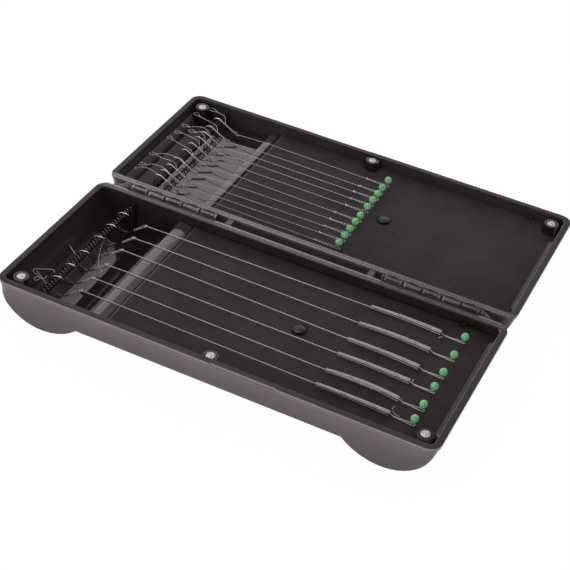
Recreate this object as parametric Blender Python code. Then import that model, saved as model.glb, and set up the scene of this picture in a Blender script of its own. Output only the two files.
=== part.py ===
"""A fishing rig box lying open at 180 degrees: two moulded half shells on a two-group knuckle hinge,
each with a half-round bulge across both ends, a foam sheet, a stretched spring and its pins and rigs.

The frame: +X along the hinge, -Y the base half, +Y the lid half, +Z up, the origin under the hinge line
on the surface that the bulges stand on. Most places are given as (x, v, z), where v is the distance
from the hinge line towards the outer edge of a half, so both halves come from the same functions.
"""
import math
import bpy
import bmesh
import numpy as np
from mathutils import Matrix, Vector

MM = 0.001
DEG = math.pi / 180

# Driving dimensions
BOX_LENGTH = 340.0 * MM
HALF_WIDTH = 145.6 * MM
RIM_HEIGHT = 32.6 * MM
HINGE_OFFSET = 4.0 * MM  # from the hinge line to the rim of either half
CLEARANCE = 0.3 * MM  # between pieces that seat on each other
OVERRUN = 6.0 * MM  # how far a cutter runs past what it cuts
SINK = 0.5 * MM  # how far a joined shape runs into its neighbour

# Half shell
RIM_CORNER = 9.0 * MM
WALL_CORNER = 9.4 * MM
TIGHTEST_CORNER = 2.5 * MM
RIM_CORNER_STEPS = 6
WALL_CORNER_STEPS = 5
WALL_INSET = 1.3 * MM  # the rim stands proud of the wall by this much
WALL = 2.2 * MM
RIM_WIDTH = 4.9 * MM
HINGE_RAIL_WIDTH = 6.4 * MM
RIM_THICKNESS = 2.2 * MM
RIM_CHAMFER = 0.4 * MM
BEAD_INSET = 0.6 * MM
BEAD_THICKNESS = 2.0 * MM
FLAT_BOTTOM = 11.9 * MM  # underside between the two bulges
BULGE_INSET = 37.0 * MM  # centres of the bulges from the ends
BULGE_OUTER_RADIUS = 36.5 * MM
BULGE_INNER_RADIUS = 43.0 * MM
BULGE_SINK = 0.12 * MM  # the arcs dip this far below the landing that they stand on
BULGE_STEPS = 10
BULGE_LAST_ANGLE = 80.0 * DEG
LEDGE_WIDTH = 2.7 * MM
LEDGE_DROP = 0.6 * MM
LEDGE_THICKNESS = 2.0 * MM
LEDGE_SLOPE = 6.0 * MM
LEDGE_SHARES = {"base": (0.105, 0.925), "lid": (0.03, 0.76)}  # its ends, across the inside
NOTCH_LENGTH = 50.0 * MM
NOTCH_DEPTH = 0.7 * MM
NOTCH_SHARES = {"base": 0.084, "lid": -0.087}  # its middle, as a share of the length
SUPPORT_RIB = 1.6 * MM
SUPPORT_RIB_SHARES = (0.32, 0.68)  # places of the ribs under a floor plate, across the inside

# Magnets and their pillars
MAGNET_RADIUS = 4.0 * MM
MAGNET_THICKNESS = 2.0 * MM
MAGNET_DROP = 1.5 * MM  # below the rim
PILLAR_RADIUS = 5.6 * MM
CORNER_PILLAR_INSET = 10.2 * MM  # from the inner faces of both walls
CENTRE_PILLAR_INSET = 5.2 * MM
DISC_STEPS = 16

# Spring anchors and springs
SPRING_INSET = 32.5 * MM  # from the end
SPRING_DROP = 8.2 * MM  # its axis below the rim
SPRING_RADIUS = 2.35 * MM  # centre line of the wire
SPRING_WIRE = 0.9 * MM
SPRING_CURLS = 34
SPRING_POINTS = 8
SPRING_TAIL_POINTS = 4
SPRING_TAIL = 1.2 * MM
ANCHOR_RIB = 2.4 * MM
ANCHOR_DEPTH = 3.4 * MM
ANCHOR_DROP = 5.5 * MM

# Hinge
AXIS_LIFT = 0.15 * MM  # above the rim plane, so the closed rims lie this far from the parting plane
KNUCKLES = 5
GROUP_START_SHARE = 0.2038  # inner end of a knuckle group, as a share of the length
GROUP_INSET = 24.4 * MM  # outer end of a knuckle group from the end of the box
HINGE_SHIFT = -1.5 * MM  # both groups sit this far off the middle
KNUCKLE_RADIUS = 2.0 * MM
KNUCKLE_STEPS = 12
KNUCKLE_WEB = 1.5 * MM
ROD_RADIUS = 0.9 * MM
ROD_CLEARANCE = 0.22 * MM
ROD_STEPS = 10
LEAF_CLEARANCE = 0.45 * MM  # from a knuckle to the leaf of the other half
LEAF_THICKNESS = 1.9 * MM
LEAF_DROP = 1.0 * MM
EAR_LENGTH = 2.2 * MM
EAR_DROP = 0.15 * MM
WINDOW_LENGTH = 6.0 * MM
WINDOW_DEPTH = 1.1 * MM  # into the rim behind the leaf
LUG_LENGTH = 3.6 * MM
LUG_SLOPE = 9.0 * MM
LUG_WALL = 1.2 * MM
LUG_THICKNESS = 3.2 * MM
LUG_DROP = 0.2 * MM
TONGUE_SHARE = 0.174
TONGUE_WIDTH = 4.8 * MM
TONGUE_FLARE = 0.8 * MM
TONGUE_STEP = 0.1 * MM  # its faces lie this far inside the rim's

# Floor liners
PLATE = 1.5 * MM
LINER_GAP = 0.4 * MM
RIDGE_INSET = 72.0 * MM
BASE_RIDGE_DROP = 8.6 * MM
BASE_RIDGE_FLAT = 7.0 * MM
BASE_RIDGE_SLOPE = 5.4 * MM
BASE_RIDGE_FALL = 1.7 * MM
RIDGE_ROUND = 2.2 * MM
RIDGE_ROUND_STEPS = 3
RIDGE_LIP = 0.8 * MM
LID_RIDGE_INSET = 75.5 * MM
LID_RIDGE_WIDTH = 7.0 * MM
LID_RIDGE_DROP = 11.3 * MM
UPTURN_DROP = 8.0 * MM
UPTURN_STEPS = 5

# Foam
FOAM_DROP = 9.0 * MM
FOAM_INSET = 86.0 * MM
FOAM_GAP = 0.5 * MM
FOAM_END_STEPS = 4

# Foam stud
STUD_SHARE = 0.111
STUD_RADIUS = 5.2 * MM
STUD_DOME = 1.5 * MM
STUD_STEM = 2.3 * MM
STUD_STEPS = 14
STUD_DOME_STEPS = 3

# Ball-headed pins
BASE_PIN_INSET = 25.5 * MM
LID_PIN_SHARE = 0.0644
PIN_BALL = 3.0 * MM
PIN_SHAFT = 0.5 * MM
PIN_SHOWN = 3.2 * MM  # bare shaft between the foam and the ball
PIN_BURIED = 6.8 * MM
PIN_POINT = 1.2 * MM
PIN_TRAVEL = 6.0 * MM
PIN_STEPS = 8
PIN_BALL_STEPS = 5

# Rigs: a hook, its eye, a braided link and the loop round the pin
LINE_RADIUS = 0.25 * MM
KNOT_RADIUS = 0.5 * MM
KNOT_LENGTH = 2.4 * MM
LOOP_RADIUS = 1.3 * MM
LOOP_LENGTH = 9.0 * MM
LOOP_STEPS = 5
LOOP_ANGLE = 100.0 * DEG
LINE_LIFT = 0.6 * MM  # centre of a link above the foam
HOOK_WIRE = 0.42 * MM
HOOK_POINT = 0.12 * MM
EYE_RADIUS = 1.05 * MM
EYE_STEPS = 5
EYE_PITCH = 1.1 * MM
EYE_WIRE_SHARE = 0.8  # how much of the first turn is hook wire

# Base rigs: places across the inside of the tray, from the hinge wall
BASE_PIN_SHARES = (0.147, 0.308, 0.460, 0.582, 0.730, 0.847)
BASE_HOOK_SHARES = (0.146, 0.275, 0.402, 0.555, 0.689, 0.812)
BASE_BEND_RADIUS = 8.6 * MM
BASE_BEND_X = 3.1 * MM  # centre of the bend from the spring's axis
BASE_BEND_DROP = 4.1 * MM
BASE_BEND_START = 66.0 * DEG
BASE_BEND_END = 309.0 * DEG
BASE_BEND_STEPS = 8
BASE_SHANK = 14.2 * MM
LINK_INSET = 53.4 * MM  # where the links leave the hook eyes, from the end
SLEEVE_GAP = 17.5 * MM  # from its thick end to the pin
SLEEVE_LENGTH = 55.0 * MM
SLEEVE_THIN = 1.05 * MM
SLEEVE_THICK = 1.75 * MM
SLEEVE_BORE = 0.6 * MM
SLEEVE_STEPS = 9

# Lid rigs
LID_PIN_SHARES = (0.117, 0.196, 0.268, 0.345, 0.416, 0.517, 0.594, 0.667, 0.737, 0.828)
LID_HOOK_SHARES = (0.146, 0.206, 0.273, 0.359, 0.459, 0.541, 0.623, 0.688, 0.764, 0.868)
LID_BEND_RADIUS = 4.9 * MM
LID_BEND_X = 0.4 * MM
LID_BEND_LIFT = 0.9 * MM
LID_BEND_START = 67.0 * DEG
LID_BEND_END = 268.0 * DEG
LID_BEND_STEPS = 7
LID_SHANK = 17.0 * MM
LID_SLANT = 2.3 * MM

AXIS_HEIGHT = RIM_HEIGHT + AXIS_LIFT
HALF_LENGTH = BOX_LENGTH / 2
SIGN = {"base": -1, "lid": 1}
BULGE_X = HALF_LENGTH - BULGE_INSET
SPRING_X = HALF_LENGTH - SPRING_INSET
RIDGE_X = RIDGE_INSET - HALF_LENGTH
LID_RIDGE_X = LID_RIDGE_INSET - HALF_LENGTH
FOAM_X = FOAM_INSET - HALF_LENGTH
LINK_X = LINK_INSET - HALF_LENGTH
PIN_X = {"base": HALF_LENGTH - BASE_PIN_INSET, "lid": LID_PIN_SHARE * BOX_LENGTH}
STUD_X = STUD_SHARE * BOX_LENGTH
SLEEVE_START_X = PIN_X["base"] - SLEEVE_GAP - SLEEVE_LENGTH
GROUP_START = GROUP_START_SHARE * BOX_LENGTH
GROUP_END = HALF_LENGTH - GROUP_INSET
TONGUE_X = TONGUE_SHARE * BOX_LENGTH
INNER_INSET = WALL_INSET + WALL
INNER_END = HALF_LENGTH - INNER_INSET
RAIL_RATIO = HINGE_RAIL_WIDTH / RIM_WIDTH
INNER_NEAR = HINGE_OFFSET + INNER_INSET * RAIL_RATIO
INNER_FAR = HINGE_OFFSET + HALF_WIDTH - INNER_INSET
FLOOR = FLAT_BOTTOM + WALL
PLATE_BOTTOM = FLOOR + CLEARANCE
PLATE_TOP = PLATE_BOTTOM + PLATE
FOAM_TOP = RIM_HEIGHT - FOAM_DROP
FOAM_BOTTOM = PLATE_TOP + CLEARANCE
SPRING_HEIGHT = RIM_HEIGHT - SPRING_DROP
LINE_HEIGHT = FOAM_TOP + LINE_LIFT
SLEEVE_HEIGHT = FOAM_TOP + CLEARANCE + SLEEVE_THICK


# Scene helpers

def clear_scene():
    for obj in list(bpy.data.objects):
        bpy.data.objects.remove(obj, do_unlink=True)


def material(name, colour, roughness, metallic=0.0):
    mat = bpy.data.materials.new(name)
    mat.use_nodes = True
    shader = mat.node_tree.nodes["Principled BSDF"]
    shader.inputs["Base Color"].default_value = (*colour, 1.0)
    shader.inputs["Roughness"].default_value = roughness
    shader.inputs["Metallic"].default_value = metallic
    return mat


def link(name, data, mat=None):
    obj = bpy.data.objects.new(name, data)
    bpy.context.scene.collection.objects.link(obj)
    if mat is not None:
        data.materials.append(mat)
    return obj


def mesh_object(name, bm, mat=None, smooth_angle=None):
    """A closed mesh with its faces turned outwards."""
    bmesh.ops.recalc_face_normals(bm, faces=bm.faces)
    mesh = bpy.data.meshes.new(name)
    bm.to_mesh(mesh)
    bm.free()
    obj = link(name, mesh, mat)
    if smooth_angle is not None:
        mesh.shade_smooth()
        mesh.set_sharp_from_angle(angle=smooth_angle)
    return obj


def as_cutter(obj):
    obj.hide_render = True
    obj.display_type = 'WIRE'
    return obj


def boolean(target, tool, operation, overlapping=False):
    """A cut, or a union; overlapping says that the tool's own solids overlap each other."""
    mod = target.modifiers.new(tool.name, 'BOOLEAN')
    mod.operation = operation
    mod.solver = 'EXACT'
    mod.use_self = overlapping
    mod.object = as_cutter(tool)
    return mod


def place(side, x, v, z):
    """A point of a half: v runs from the hinge line to the outer edge."""
    return Vector((x, SIGN[side] * v, z))


# Solids from outlines

def extrude_outline(bm, outline, along):
    """Adds the solid that a closed outline of points sweeps along a vector."""
    start = [bm.verts.new(p) for p in outline]
    face = bm.faces.new(start)
    swept = bmesh.ops.extrude_face_region(bm, geom=[face])
    moved = [g for g in swept["geom"] if isinstance(g, bmesh.types.BMVert)]
    bmesh.ops.translate(bm, verts=moved, vec=along)
    return bm


def upright(bm, side, outline, low, high):
    """A solid from an (x, v) outline, between two heights."""
    points = [place(side, x, v, low) for x, v in outline]
    return extrude_outline(bm, points, Vector((0, 0, high - low)))


def across(bm, side, outline, near, far):
    """A solid from an (x, z) outline, between two distances from the hinge line."""
    points = [place(side, x, near, z) for x, z in outline]
    return extrude_outline(bm, points, Vector((0, SIGN[side] * (far - near), 0)))


def lengthwise(bm, side, outline, start, end):
    """A solid from a (v, z) outline, between two places along the hinge."""
    points = [place(side, start, v, z) for v, z in outline]
    return extrude_outline(bm, points, Vector((end - start, 0, 0)))


def block(bm, side, xs, vs, zs):
    outline = [(xs[0], vs[0]), (xs[1], vs[0]), (xs[1], vs[1]), (xs[0], vs[1])]
    return upright(bm, side, outline, zs[0], zs[1])


def circle(centre, radius, steps, start=0.0):
    turn = 2 * math.pi / steps
    return [(centre[0] + radius * math.cos(start + turn * i),
             centre[1] + radius * math.sin(start + turn * i)) for i in range(steps)]


def arc(centre, radius, start, end, steps):
    """Points of an arc, with both ends, in a plane of two coordinates."""
    angles = np.linspace(start, end, steps + 1)
    return [(centre[0] + radius * math.cos(a), centre[1] + radius * math.sin(a)) for a in angles]


def rounded_loop(inset, corner=WALL_CORNER, steps=WALL_CORNER_STEPS):
    """The plan of a half, drawn in from the rim's outer edge: a rectangle with round corners."""
    end = HALF_LENGTH - inset
    near = HINGE_OFFSET + inset * RAIL_RATIO
    far = HINGE_OFFSET + HALF_WIDTH - inset
    radius = max(corner - inset, TIGHTEST_CORNER)
    quarter = math.pi / 2
    points = []
    corners = ((end - radius, far - radius), (radius - end, far - radius),
               (radius - end, near + radius), (end - radius, near + radius))
    for turn, centre in enumerate(corners):
        points += arc(centre, radius, turn * quarter, (turn + 1) * quarter, steps)
    return points


def lathe(bm, profile, steps):
    """A turned solid about Z from a (radius, height) profile that starts and ends on the axis."""
    rings = []
    for radius, height in profile[1:-1]:
        rings.append([bm.verts.new((x, y, height)) for x, y in circle((0, 0), radius, steps)])
    low = bm.verts.new((0, 0, profile[0][1]))
    high = bm.verts.new((0, 0, profile[-1][1]))
    for i in range(steps):
        j = (i + 1) % steps
        bm.faces.new((low, rings[0][j], rings[0][i]))
        bm.faces.new((high, rings[-1][i], rings[-1][j]))
        for lower, upper in zip(rings, rings[1:]):
            bm.faces.new((lower[i], lower[j], upper[j], upper[i]))
    return bm


def wire(name, route, radius, mat, radii=None):
    """A round wire along a route, closed at both ends, with its own radius at each point if given."""
    curve = bpy.data.curves.new(name, 'CURVE')
    curve.dimensions = '3D'
    curve.bevel_depth = radius
    curve.bevel_resolution = 1
    curve.use_fill_caps = True
    spline = curve.splines.new('POLY')
    spline.points.add(len(route) - 1)
    for i, point in enumerate(route):
        spline.points[i].co = (*point, 1.0)
        if radii is not None:
            spline.points[i].radius = radii[i] / radius
    spline.use_smooth = True
    return link(name, curve, mat)


# Half shells

def underside(offset, top):
    """The outline in (x, z) of the space above the underside: two bulges and the flat between them."""
    outer_radius = BULGE_OUTER_RADIUS - offset
    inner_radius = BULGE_INNER_RADIUS - offset
    outer_centre = BULGE_OUTER_RADIUS - BULGE_SINK
    inner_centre = BULGE_INNER_RADIUS - BULGE_SINK
    outer_first = 0.0
    inner_first = 0.0
    if offset == 0:
        outer_first = math.acos(outer_centre / outer_radius)
        inner_first = math.acos(inner_centre / inner_radius)
    inner_last = math.acos((inner_centre - FLAT_BOTTOM - offset) / inner_radius)
    inner = [(BULGE_X - inner_radius * math.sin(a), inner_centre - inner_radius * math.cos(a))
             for a in np.linspace(inner_last, inner_first, BULGE_STEPS // 2 + 1)]
    outer = [(BULGE_X + outer_radius * math.sin(a), outer_centre - outer_radius * math.cos(a))
             for a in np.linspace(outer_first, BULGE_LAST_ANGLE, BULGE_STEPS + 1)]
    if offset > 0:
        outer = outer[1:]
    half = inner + outer
    half.append((half[-1][0], top))
    return [(-x, z) for x, z in reversed(half)] + half


def magnet_places():
    corner_x = INNER_END - CORNER_PILLAR_INSET
    corner_v = INNER_FAR - CORNER_PILLAR_INSET
    return ((-corner_x, corner_v), (0.0, INNER_FAR - CENTRE_PILLAR_INSET), (corner_x, corner_v))


def ends(centre, size):
    return (centre - size / 2, centre + size / 2)


def add_rim(bm, side):
    """The flat rim and the bead under it, one closed ring swept round the plan."""
    bead_top = RIM_HEIGHT - RIM_THICKNESS
    bead_bottom = bead_top - BEAD_THICKNESS
    section = (
        (WALL_INSET + SINK, bead_bottom - RIM_CHAMFER),
        (BEAD_INSET, bead_bottom),
        (BEAD_INSET, bead_top - RIM_CHAMFER),
        (0.0, bead_top),
        (0.0, RIM_HEIGHT - RIM_CHAMFER),
        (RIM_CHAMFER, RIM_HEIGHT),
        (RIM_WIDTH - RIM_CHAMFER, RIM_HEIGHT),
        (RIM_WIDTH, RIM_HEIGHT - RIM_CHAMFER),
        (RIM_WIDTH, bead_top),
        (INNER_INSET - SINK, bead_top - RIM_WIDTH + INNER_INSET),
    )
    loops = []
    for inset, height in section:
        plan = rounded_loop(inset, RIM_CORNER, RIM_CORNER_STEPS)
        loops.append([bm.verts.new(place(side, x, v, height)) for x, v in plan])
    count = len(loops[0])
    for a, b in zip(loops, loops[1:] + loops[:1]):
        for i in range(count):
            j = (i + 1) % count
            bm.faces.new((a[i], a[j], b[j], b[i]))


def inside_features(side):
    """Magnet pillars, spring anchor ribs and the ribs under the floor plate, below the rim."""
    bm = bmesh.new()
    low = -OVERRUN / 2
    top = RIM_HEIGHT - MAGNET_DROP
    for x, v in magnet_places():
        pillar = circle((x, v), PILLAR_RADIUS, DISC_STEPS)
        upright(bm, side, pillar, low, top)
    for x in (-SPRING_X, SPRING_X):
        rib = ends(x, ANCHOR_RIB)
        height = (low, RIM_HEIGHT - ANCHOR_DROP)
        block(bm, side, rib, (INNER_NEAR - SINK, INNER_NEAR + ANCHOR_DEPTH), height)
        block(bm, side, rib, (INNER_FAR - ANCHOR_DEPTH, INNER_FAR + SINK), height)
    bulges = (1,) if side == "base" else (-1, 1)
    for direction in bulges:
        for share in SUPPORT_RIB_SHARES:
            v = INNER_NEAR + share * (INNER_FAR - INNER_NEAR)
            reach = sorted((direction * (INNER_END - WALL * 2), direction * (BULGE_X - BULGE_OUTER_RADIUS)))
            block(bm, side, reach, ends(v, SUPPORT_RIB), (low, FLOOR - SINK / 2))
    return mesh_object(side + "_inside_features", bm)


def add_ledge(bm, side):
    """The narrow step inside the right end, a little below the rim, with slanted ends."""
    high = RIM_HEIGHT - LEDGE_DROP
    inner = HALF_LENGTH - RIM_WIDTH - LEDGE_WIDTH
    start, end = [INNER_NEAR + share * (INNER_FAR - INNER_NEAR) for share in LEDGE_SHARES[side]]
    plan = [(INNER_END + SINK, start), (inner, start + LEDGE_SLOPE),
            (inner, end - LEDGE_SLOPE / 2), (INNER_END + SINK, end)]
    upright(bm, side, plan, high - LEDGE_THICKNESS, high)


# Hinge

def knuckle_spans():
    """(start, end, own half) of each knuckle, both groups."""
    pitch = (GROUP_END - GROUP_START) / KNUCKLES
    for direction in (-1, 1):
        for number in range(KNUCKLES):
            owner = "base" if number % 2 else "lid"
            start = GROUP_START + pitch * number
            end = start + pitch - CLEARANCE
            yield (*sorted((HINGE_SHIFT + direction * start, HINGE_SHIFT + direction * end)), owner)


def add_leaf(bm, side):
    """The leaf along each hinge group, on the rim's outer edge, and the base's two tongues."""
    edge = KNUCKLE_RADIUS + LEAF_CLEARANCE
    top = RIM_HEIGHT - LEAF_DROP
    inside = HINGE_OFFSET + RIM_WIDTH - RIM_CHAMFER
    outline = [(edge, top), (inside, top), (inside, top - LEAF_THICKNESS), (edge, top - LEAF_THICKNESS)]
    for direction in (-1, 1):
        reach = [HINGE_SHIFT + direction * x for x in (GROUP_START, GROUP_END + LUG_LENGTH)]
        lengthwise(bm, side, outline, *reach)
    if side == "lid":
        for start, end, owner in knuckle_spans():
            near = KNUCKLE_RADIUS / 2 if owner == "lid" else edge
            for x in (start + EAR_LENGTH / 2, end - EAR_LENGTH / 2):
                block(bm, side, ends(x, EAR_LENGTH - RIM_CHAMFER / 2), (near, inside - RIM_CHAMFER),
                      (RIM_HEIGHT - LEAF_THICKNESS, RIM_HEIGHT - EAR_DROP))
    if side == "base":
        back = HINGE_OFFSET + SINK
        tip = CLEARANCE - HINGE_OFFSET
        half = TONGUE_WIDTH / 2
        for x in (-TONGUE_X, TONGUE_X):
            plan = [(x - half - TONGUE_FLARE, back), (x - half, HINGE_OFFSET - TONGUE_FLARE),
                    (x - half, tip), (x + half, tip),
                    (x + half, HINGE_OFFSET - TONGUE_FLARE), (x + half + TONGUE_FLARE, back)]
            upright(bm, side, plan, RIM_HEIGHT - RIM_THICKNESS + TONGUE_STEP, RIM_HEIGHT - TONGUE_STEP)


def add_lugs(bm, side):
    """The end lugs: each closes its group and falls away to the rim in an S."""
    for direction in (-1, 1):
        start = GROUP_END + CLEARANCE
        flat = start + LUG_LENGTH
        nose = -KNUCKLE_RADIUS
        rise = HINGE_OFFSET + KNUCKLE_RADIUS
        plan = [(start, HINGE_OFFSET + RIM_WIDTH / 2), (start, nose), (flat, nose)]
        for share in (0.15, 0.35, 0.65, 0.85, 1.0):
            wave = (1 - math.cos(math.pi * share)) / 2
            plan.append((flat + LUG_SLOPE * share, nose + rise * wave))
        plan.append((flat + LUG_SLOPE, HINGE_OFFSET + RIM_WIDTH / 2))
        plan = [(HINGE_SHIFT + direction * x, v) for x, v in plan]
        upright(bm, side, plan, RIM_HEIGHT - LUG_THICKNESS, RIM_HEIGHT - LUG_DROP)


def add_knuckles(bm, side):
    """The half's own knuckles: a barrel round the rod that runs into the leaf behind it."""
    back = HINGE_OFFSET + SINK
    low = AXIS_HEIGHT - KNUCKLE_RADIUS
    sweep = arc((0, AXIS_HEIGHT), KNUCKLE_RADIUS, 60 * DEG, 270 * DEG, KNUCKLE_STEPS * 2 // 3)
    profile = sweep + [(back, low), (back, low + KNUCKLE_WEB)]
    profile.append((KNUCKLE_RADIUS, AXIS_HEIGHT - LEAF_CLEARANCE))
    for start, end, owner in knuckle_spans():
        if owner == side:
            lengthwise(bm, side, profile, start, end)
    if side == "base":
        barrel = circle((0, AXIS_HEIGHT), KNUCKLE_RADIUS, KNUCKLE_STEPS)
        for direction in (-1, 1):
            start = GROUP_END + CLEARANCE
            reach = [HINGE_SHIFT + direction * x for x in (start, start + LUG_LENGTH)]
            lengthwise(bm, side, barrel, *reach)


def rod_end():
    return GROUP_END + CLEARANCE + LUG_LENGTH - LUG_WALL


def tray_cuts(side):
    """Rod bores, magnet seats, the finger notch and the windows behind the knuckles."""
    bm = bmesh.new()
    seat = MAGNET_RADIUS + CLEARANCE
    top = RIM_HEIGHT - MAGNET_DROP
    for x, v in magnet_places():
        hole = circle((x, v), seat, DISC_STEPS)
        upright(bm, side, hole, top - MAGNET_THICKNESS - CLEARANCE, top + OVERRUN)
    bore = circle((0, AXIS_HEIGHT), ROD_RADIUS + ROD_CLEARANCE, KNUCKLE_STEPS)
    for direction in (-1, 1):
        reach = [HINGE_SHIFT + direction * x for x in (GROUP_START - OVERRUN, rod_end() + CLEARANCE)]
        lengthwise(bm, side, bore, *reach)
    outer = HINGE_OFFSET + HALF_WIDTH
    block(bm, side, ends(NOTCH_SHARES[side] * BOX_LENGTH, NOTCH_LENGTH), (outer - NOTCH_DEPTH, outer + OVERRUN),
          (RIM_HEIGHT - RIM_THICKNESS - BEAD_THICKNESS / 2, RIM_HEIGHT + OVERRUN))
    if side == "lid":
        near = KNUCKLE_RADIUS + LEAF_CLEARANCE / 2
        for start, end, owner in knuckle_spans():
            block(bm, side, ends((start + end) / 2, WINDOW_LENGTH),
                  (near, HINGE_OFFSET + WINDOW_DEPTH), (RIM_HEIGHT - OVERRUN / 2, RIM_HEIGHT + OVERRUN))
    return mesh_object(side + "_tray_cuts", bm)


def rim_and_hinge(side):
    bm = bmesh.new()
    add_rim(bm, side)
    add_ledge(bm, side)
    add_leaf(bm, side)
    add_knuckles(bm, side)
    if side == "base":
        add_lugs(bm, side)
    return mesh_object(side + "_rim_and_hinge", bm)


def make_tray(side, mat):
    bm = bmesh.new()
    upright(bm, side, rounded_loop(WALL_INSET), -OVERRUN, RIM_HEIGHT - RIM_THICKNESS / 2)
    tray = mesh_object(side + "_tray", bm, mat)

    bm = bmesh.new()
    upright(bm, side, rounded_loop(INNER_INSET), -OVERRUN, RIM_HEIGHT + OVERRUN)
    cavity = mesh_object(side + "_cavity", bm)
    bm = bmesh.new()
    far = HINGE_OFFSET + HALF_WIDTH + OVERRUN
    across(bm, side, underside(WALL, RIM_HEIGHT + OVERRUN * 2), -OVERRUN, far)
    boolean(cavity, mesh_object(side + "_cavity_form", bm), 'INTERSECT')

    bm = bmesh.new()
    across(bm, side, underside(0.0, RIM_HEIGHT + OVERRUN), -OVERRUN, far)
    form = mesh_object(side + "_underside_form", bm)

    boolean(tray, cavity, 'DIFFERENCE')
    boolean(tray, inside_features(side), 'UNION')
    boolean(tray, form, 'INTERSECT')
    boolean(tray, rim_and_hinge(side), 'UNION', overlapping=True)
    boolean(tray, tray_cuts(side), 'DIFFERENCE')
    return tray


def make_magnets(side, mat):
    made = []
    top = RIM_HEIGHT - MAGNET_DROP
    for number, (x, v) in enumerate(magnet_places()):
        bm = bmesh.new()
        upright(bm, side, circle((x, v), MAGNET_RADIUS, DISC_STEPS), top - MAGNET_THICKNESS, top)
        made.append(mesh_object(side + "_magnet_" + str(number + 1), bm, mat))
    return made


def make_rods(mat):
    made = []
    section = circle((0, AXIS_HEIGHT), ROD_RADIUS, ROD_STEPS)
    for number, direction in enumerate((-1, 1)):
        bm = bmesh.new()
        reach = [HINGE_SHIFT + direction * x for x in (GROUP_START + CLEARANCE, rod_end())]
        lengthwise(bm, "base", section, *reach)
        made.append(mesh_object("hinge_rod_" + str(number + 1), bm, mat, 40 * DEG))
    return made


# Liners and foam

def wall_arc(clearance, low, high, steps, direction):
    """Points that follow the inside of an end wall, a clearance off it, between two heights."""
    radius = BULGE_OUTER_RADIUS - WALL - clearance
    centre = BULGE_OUTER_RADIUS - BULGE_SINK
    first = math.acos((centre - low) / radius)
    last = math.acos((centre - high) / radius)
    return [(direction * (BULGE_X + radius * math.sin(a)), centre - radius * math.cos(a))
            for a in np.linspace(first, last, steps + 1)]


def plate_end():
    """Where a floor plate meets the curved end wall."""
    return wall_arc(CLEARANCE, PLATE_BOTTOM, PLATE_TOP, 1, 1)[0][0]


def pillar_notch(x, v, radius):
    """A round-bottomed notch in plan, open towards the wall or the corner that a pillar stands at."""
    beyond_wall = INNER_FAR + OVERRUN
    steps = DISC_STEPS // 4
    if abs(x) < radius:
        return arc((x, v), radius, math.pi, 2 * math.pi, steps * 2) + [(x + radius, beyond_wall),
                                                                      (x - radius, beyond_wall)]
    outward = math.copysign(1, x)
    beyond_end = outward * (INNER_END + OVERRUN)
    quarter = [(x - outward * radius * math.cos(a), v - radius * math.sin(a))
               for a in np.linspace(0, math.pi / 2, steps + 1)]
    return quarter + [(beyond_end, v - radius), (beyond_end, beyond_wall), (x - outward * radius, beyond_wall)]


def fitted_cutters(side, gap):
    """What a sheet inside a half is cut away around: pillars and anchor ribs."""
    bm = bmesh.new()
    for x, v in magnet_places():
        upright(bm, side, pillar_notch(x, v, PILLAR_RADIUS + gap), -OVERRUN, RIM_HEIGHT)
    for x in (-SPRING_X, SPRING_X):
        rib = ends(x, ANCHOR_RIB + gap * 2)
        inward = ANCHOR_DEPTH + gap
        block(bm, side, rib, (INNER_NEAR - OVERRUN, INNER_NEAR + inward), (-OVERRUN, RIM_HEIGHT))
        block(bm, side, rib, (INNER_FAR - inward, INNER_FAR + OVERRUN), (-OVERRUN, RIM_HEIGHT))
    return bm


def fit_inside(obj, side, gap, cutters):
    """Trims a sheet to the inside of the walls and cuts it around what stands in the tray."""
    bm = bmesh.new()
    upright(bm, side, rounded_loop(INNER_INSET + gap), -OVERRUN, RIM_HEIGHT + OVERRUN)
    boolean(obj, mesh_object(obj.name + "_plan", bm), 'INTERSECT')
    boolean(obj, mesh_object(obj.name + "_cuts", cutters), 'DIFFERENCE')
    return obj


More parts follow.
